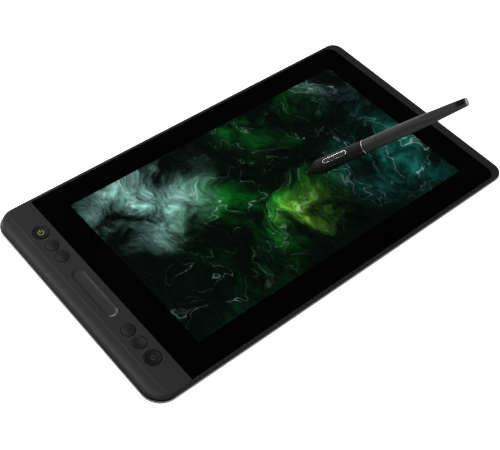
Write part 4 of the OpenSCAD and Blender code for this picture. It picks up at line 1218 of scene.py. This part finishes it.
def buildSigns():
    shape = signShape
    levels = (-cutOver, cutOver)
    power = signRing("powerSign", shape["powerRadius"], shape["powerLine"])
    reach = 2 * shape["powerRadius"]
    carve(power, signBar("powerGap", shape["powerBreak"], shape["gapFrom"], reach, *levels))
    bar = signBar("powerBar", shape["powerLine"], shape["barFrom"], shape["barTo"], 0, shape["thick"])
    carve(power, bar, "UNION")
    finishSign(power, "power_sign", "power_key", "signLit")
    mode = signRing("modeSign", shape["modeRadius"], shape["modeLine"])
    reach = 2 * shape["modeRadius"]
    gap = signBar("modeGap", shape["modeBreak"], -reach, reach, *levels)
    setInPlace(gap, Matrix.Rotation(math.radians(shape["modeTurn"]), 4, "Z"))
    carve(mode, gap)
    finishSign(mode, "mode_sign", "mode_key", "signGrey")


# touch bar: a pad held by a flange, its soft walls falling to a shallow floor
def buildTouchBar():
    low, high = boxOf("touch_bar_pad")
    shape = barShape
    length = high.y - low.y
    width = high.x - low.x
    inset = shape["flange"] + shape["gap"]
    soft = shape["edgeRound"]
    rim = boxOf("front_frame")[1].z - shape["sunk"]
    levels = [(0, low.z), (0, low.z + shape["flangeThick"]), (inset, low.z + shape["flangeThick"])]
    ease = soft * easeShare
    levels += [(inset, rim - soft), (inset + ease, rim - ease)]
    for share in sharesOf(shape["sideSteps"]):
        fall = (3 - 2 * share) * share * share
        levels.append((inset + soft + shape["sideRun"] * share, rim - (rim - high.z) * fall))
    floorInset = levels[-1][0]
    levels.append((floorInset + shape["hollowRun"], high.z - shape["hollow"]))
    rings = []
    for i, z in levels:
        share = min(1.0, max(0.0, (i - inset - soft) / shape["sideRun"]))
        rings.append(stadiumRing(length - 2 * i - 2 * shape["endRun"] * share, width - 2 * i, z))
    obj = extrudeRings("touchBarPad", rings)
    setInPlace(obj, Matrix.Translation(Vector(((low.x + high.x) / 2, 0, 0)) * mm) @ quarterTurn)
    finishPiece(obj, "touch_bar_pad", "tablet", "touchBarPlastic")


buildExpressKeys()
buildEndKey("powerKey", "power_key", "powerKeyPlastic")
buildEndKey("modeKey", "mode_key", "keyGloss")
buildSigns()
buildTouchBar()
print("keys and touch bar modelled")


# the pen is made upright from its nib, rocker on +X, then laid along the pen's joint axes
penShape = {
    "length": 150.0,
    "coneEnd": 9.0,
    "coneEndRadius": 4.7,
    "plugRadius": 3.4,
    "plugLength": 4.0,
    "shoulderAt": 15.5,
    "shoulderRadius": 6.75,
    "gripEnd": 57.0,
    "gripEndRadius": 6.05,
    "gripSteps": 12,
    "spigotRadius": 4.6,
    "spigotLength": 8.0,
    "ringWidth": 1.0,
    "tailRadius": 3.5,
    "capThick": 1.0,
    "seam": 0.1,
    "fit": 0.05,
}
# the rocker and its outline; a round has its width, segments and angle
rockerShape = {
    "at": 32.0,
    "pin": 4.6,
    "length": 21.2,
    "width": 2.9,
    "under": 4.75,
    "over": 9,
    "proud": 0.35,
    "gap": 0.22,
    "round": (0.35, 4, 40),
    "trimWidth": 0.3,
    "trimUnder": 5.2,
    "trimProud": 0.15,
    "trimRound": (0.1, 2, 40),
    "pocketLevels": (1, 12),
}


def penMatrix():
    along = Vector(joints["pen_lift"]["axis"]).normalized()
    across = Vector(joints["rocker_tilt"]["axis"]).normalized()
    up = across.cross(along)
    pin = Vector(joints["rocker_tilt"]["pos_m"])
    origin = pin - (up * rockerShape["pin"] + along * rockerShape["at"]) * mm
    axes = Matrix((up, across, along)).transposed().to_4x4()
    return Matrix.Translation(origin) @ axes


penPlace = penMatrix()


def gripRadius(station):
    shape = penShape
    if station < shape["shoulderAt"]:
        share = (station - shape["coneEnd"]) / (shape["shoulderAt"] - shape["coneEnd"])
        rise = shape["shoulderRadius"] - shape["coneEndRadius"]
        return shape["coneEndRadius"] + rise * math.sin(math.radians(90 * share))
    share = (station - shape["shoulderAt"]) / (shape["gripEnd"] - shape["shoulderAt"])
    return shape["shoulderRadius"] + (shape["gripEndRadius"] - shape["shoulderRadius"]) * share


def barrelRadius(station):
    shape = penShape
    start = shape["gripEnd"] + shape["ringWidth"]
    share = (station - start) / (shape["length"] - start)
    return shape["gripEndRadius"] - (shape["gripEndRadius"] - shape["tailRadius"]) * share * share


# stations from the shoulder's foot to the end of the grip, close together on the shoulder
def gripStations():
    shape = penShape
    steps = shape["gripSteps"]
    rise = shape["shoulderAt"] - shape["coneEnd"]
    stations = [shape["coneEnd"] + rise * i / steps for i in range(steps + 1)]
    run = shape["gripEnd"] - shape["shoulderAt"]
    return stations + [shape["shoulderAt"] + run * i / steps for i in range(1, steps + 1)]


def finishPenPiece(obj, node, body, finish, angle=32):
    setInPlace(obj, penPlace)
    finishPiece(obj, node, body, finish, angle)


# prism with half-round ends that runs along the pen, on the rocker's side
def sidePrism(name, length, width, under, over):
    obj = extrudeRings(name, [stadiumRing(length, width, z) for z in (under, over)])
    turn = Matrix.Rotation(math.radians(90), 4, "Y")
    setInPlace(obj, Matrix.Translation(Vector((0, 0, rockerShape["at"])) * mm) @ turn)
    return obj


def grownGrip(name, grow):
    line = [(0, penShape["coneEnd"])] + [(gripRadius(s) + grow, s) for s in gripStations()]
    return spinLine(name, line + [(0, penShape["gripEnd"])])


nibShape = {"radius": 0.8, "length": 25.2, "shown": 2.2, "steps": 8, "turns": 40}


def buildNib():
    radius = nibShape["radius"]
    end = nibShape["length"]
    line = quarter((0, radius), radius, -90, nibShape["steps"]) + [(radius, end), (0, end)]
    obj = spinLine("penNib", line, nibShape["turns"])
    finishPenPiece(obj, "pen_nib", "pen_nib", "nibPlastic")


coneShape = {"bore": 0.95, "front": 1.3, "mouthEdge": 0.1, "mouthRise": 0.15}


def buildCone():
    shape = penShape
    bore = coneShape["bore"]
    start = nibShape["shown"]
    end = shape["coneEnd"]
    plugEnd = end + shape["plugLength"]
    seam = shape["seam"]
    line = [
        (bore, start),
        (coneShape["front"] - coneShape["mouthEdge"], start),
        (coneShape["front"] + shape["fit"], start + coneShape["mouthRise"]),
        (shape["coneEndRadius"] - seam, end - 2 * seam),
        (shape["coneEndRadius"] - 2.5 * seam, end),
        (shape["plugRadius"], end),
        (shape["plugRadius"], plugEnd),
        (bore, plugEnd),
    ]
    obj = spinLine("penCone", line + line[:1])
    finishPenPiece(obj, "pen_cone", "pen", "conePlastic")


gripShape = {"bore": 4.8, "plugRoom": 0.35, "boreStop": 2, "smoothAngle": 28}


def buildGrip():
    shape = penShape
    start = shape["coneEnd"]
    end = shape["gripEnd"]
    front = shape["coneEndRadius"]
    back = shape["gripEndRadius"]
    spigot = shape["spigotRadius"]
    spigotEnd = end + shape["spigotLength"]
    plug = shape["plugRadius"] + shape["fit"]
    seam = shape["seam"]
    bore = gripShape["bore"]
    boreStart = start + shape["plugLength"] + gripShape["plugRoom"]
    boreEnd = end - gripShape["boreStop"]
    line = [(plug, start), (front - 2 * seam, start), (front, start + 1.5 * seam)]
    line += [(gripRadius(s), s) for s in gripStations()[1:-1]]
    line += [(back, end - seam), (back - seam, end), (spigot, end), (spigot, spigotEnd)]
    line += [(plug, spigotEnd), (plug, boreEnd), (bore, boreEnd), (bore, boreStart), (plug, boreStart)]
    obj = spinLine("penGrip", line + line[:1])
    reach = 2 * (rockerShape["gap"] + rockerShape["trimWidth"] + shape["fit"])
    size = (rockerShape["length"] + reach, rockerShape["width"] + reach)
    carve(obj, sidePrism("rockerPocket", *size, *rockerShape["pocketLevels"]))
    finishPenPiece(obj, "pen_grip", "pen", "gripRubber", gripShape["smoothAngle"])


ringShape = {"proud": 0.08, "soft": 0.3, "smoothAngle": 50}


def buildRing():
    start = penShape["gripEnd"]
    end = start + penShape["ringWidth"]
    inner = penShape["spigotRadius"] + penShape["fit"]
    outer = penShape["gripEndRadius"] + ringShape["proud"]
    soft = ringShape["soft"]
    line = [(inner, start), (outer - soft, start), (outer, start + soft)]
    line += [(outer, end - soft), (outer - soft, end), (inner, end)]
    obj = spinLine("penRing", line + line[:1])
    finishPenPiece(obj, "pen_ring", "pen", "ringChrome", ringShape["smoothAngle"])


# the sloping flat along the tail, cut by a big block
facetShape = {"height": 2.3, "slope": 3.74, "corner": (1, 1, 2)}


def facetBlock(name):
    size = penShape["length"]
    rings = [roundedRing(0, size, size, z, *facetShape["corner"]) for z in (-size, size)]
    obj = extrudeRings(name, rings)
    spot = Vector((facetShape["height"], 0, size)) * mm
    tilt = Matrix.Rotation(math.radians(-facetShape["slope"]), 4, "Y")
    setInPlace(obj, Matrix.Translation(spot) @ tilt)
    return obj


# oval pad set into the flat; the hollow has its insets and heights
padShape = {
    "fromTail": 5.6,
    "length": 7.6,
    "width": 4.3,
    "thick": 0.7,
    "gap": 0.1,
    "over": 3,
    "sunk": 0.1,
    "soft": 0.2,
    "hollow": ((0.9, -0.14), (1.6, -0.2)),
}


# the pad's own place: X along the pen, Z out of the flat
def padPlace():
    back = padShape["fromTail"]
    slope = facetShape["slope"]
    rise = math.tan(math.radians(slope)) * back
    spot = Vector((facetShape["height"] + rise, 0, penShape["length"] - back)) * mm
    return Matrix.Translation(spot) @ Matrix.Rotation(math.radians(90 - slope), 4, "Y")


barrelShape = {
    "bore": 3.4,
    "solid": 32.0,
    "steps": 40,
    "turns": 120,
    "dimpleAt": 71.0,
    "dimpleBall": 1.5,
    "dimpleDepth": 0.35,
    "dimpleSteps": 10,
    "dimpleTurns": 40,
    "smoothAngle": 24,
}


def buildBarrel():
    shape = penShape
    start = shape["gripEnd"] + shape["ringWidth"]
    end = shape["length"] - shape["capThick"]
    seam = shape["seam"]
    front = shape["gripEndRadius"]
    spigot = shape["spigotRadius"] + shape["fit"]
    spigotEnd = shape["gripEnd"] + shape["spigotLength"] + shape["fit"]
    bore = barrelShape["bore"]
    boreEnd = shape["length"] - barrelShape["solid"]
    line = [(0, boreEnd), (bore, boreEnd), (bore, spigotEnd), (spigot, spigotEnd)]
    line += [(spigot, start), (front - seam, start), (front, start + seam)]
    steps = barrelShape["steps"]
    stations = [start + (end - start) * i / steps for i in range(1, steps + 1)]
    line += [(barrelRadius(station), station) for station in stations]
    obj = spinLine("penBarrel", line + [(0, end)], barrelShape["turns"])
    carve(obj, facetBlock("facetCut"))
    size = (padShape["length"] + padShape["gap"], padShape["width"] + padShape["gap"])
    levels = (-padShape["thick"], padShape["over"])
    pocket = extrudeRings("padPocket", [stadiumRing(*size, z) for z in levels])
    setInPlace(pocket, padPlace())
    carve(obj, pocket)
    ball = barrelShape["dimpleBall"]
    steps = barrelShape["dimpleSteps"]
    line = quarter((0, 0), ball, -90, steps) + quarter((0, 0), ball, 0, steps)[1:]
    sphere = spinLine("dimple", line, barrelShape["dimpleTurns"])
    station = barrelShape["dimpleAt"]
    shiftTo(sphere, barrelRadius(station) - barrelShape["dimpleDepth"] + ball, 0, station)
    carve(obj, sphere)
    angle = barrelShape["smoothAngle"]
    finishPenPiece(obj, "pen_barrel", "pen", "barrelPlastic", angle)


def buildTailPad():
    soft = padShape["soft"]
    ease = soft * easeShare
    sunk = padShape["sunk"]
    bottom = penShape["fit"] - padShape["thick"]
    levels = [(0, bottom), (0, -soft - sunk), (ease, -ease - sunk), (soft, -sunk), *padShape["hollow"]]
    rings = [stadiumRing(padShape["length"] - 2 * i, padShape["width"] - 2 * i, z) for i, z in levels]
    obj = extrudeRings("penTailPad", rings)
    setInPlace(obj, padPlace())
    finishPenPiece(obj, "pen_tail_pad", "pen", "tailPadRubber")


# end cap with a shallow dish: shares of its radius, with depths
capShape = {"soft": 0.25, "dish": ((0.5, 0.05), (0.0, 0.08))}


def buildEndCap():
    end = penShape["length"]
    start = end - penShape["capThick"]
    root = barrelRadius(start)
    radius = barrelRadius(end)
    fit = penShape["fit"]
    soft = capShape["soft"]
    ease = soft * easeShare
    line = [(0, start), (root - fit, start), (root, start + fit), (radius, end - soft)]
    line += [(radius - ease, end - ease), (radius - soft, end)]
    line += [(radius * share, end - deep) for share, deep in capShape["dish"]]
    obj = spinLine("penEndCap", line)
    carve(obj, facetBlock("capFacet"))
    finishPenPiece(obj, "pen_end_cap", "pen", "endCapPlastic")


def buildRocker():
    shape = rockerShape
    obj = sidePrism("penRocker", shape["length"], shape["width"], shape["under"], shape["over"])
    carve(obj, grownGrip("rockerTop", shape["proud"]), "INTERSECT")
    roundEdges(obj, *shape["round"])
    finishPenPiece(obj, "pen_rocker", "pen_rocker", "rockerPlastic")


def buildRockerTrim():
    shape = rockerShape
    wall = 2 * shape["trimWidth"]
    length = shape["length"] + 2 * shape["gap"]
    width = shape["width"] + 2 * shape["gap"]
    levels = (shape["trimUnder"], shape["over"])
    obj = sidePrism("penRockerTrim", length + wall, width + wall, *levels)
    carve(obj, grownGrip("trimTop", shape["trimProud"]), "INTERSECT")
    carve(obj, sidePrism("trimHole", length, width, *shape["pocketLevels"]))
    roundEdges(obj, *shape["trimRound"])
    finishPenPiece(obj, "pen_rocker_trim", "pen", "ringChrome")


buildNib()
buildCone()
buildGrip()
buildRing()
buildBarrel()
buildTailPad()
buildEndCap()
buildRocker()
buildRockerTrim()
print("pen modelled")


# CAD nodes that stay, by finish
keptNodes = {
    "tapeBlack": ["glass_tape"],
    "panelGlass": ["lcd_cell"],
    "clearAcrylic": ["light_guide"],
    "reflectorWhite": ["reflector_sheet"],
    "ledStrip": ["led_bar", "power_led"],
    "sheetSteel": ["panel_tray", "key_switches", "board_screws", "key_board_screws", "usb_c_socket_1",
                   "usb_c_socket_2", "pen_rocker_pin", "pen_force_sensor", "pen_switches"],
    "circuitBoard": ["digitizer_board", "main_board", "key_board", "touch_bar_sensor", "pen_board"],
    "shieldAluminium": ["shield_plate"],
    "chipBlack": ["main_board_chips", "pen_ferrite"],
    "ribbonAmber": ["display_ribbon", "digitizer_ribbon", "key_ribbon"],
    "blackSteel": ["cover_screws"],
    "coilCopper": ["pen_coil"],
    "carrierPlastic": ["pen_carrier"],
}


def dressKeptNodes():
    count = 0
    for finish, names in keptNodes.items():
        for name in names:
            for slot in cadNodes[name].material_slots:
                slot.material = finishes[finish]
            count += 1
    print("CAD nodes dressed:", count)


dressKeptNodes()
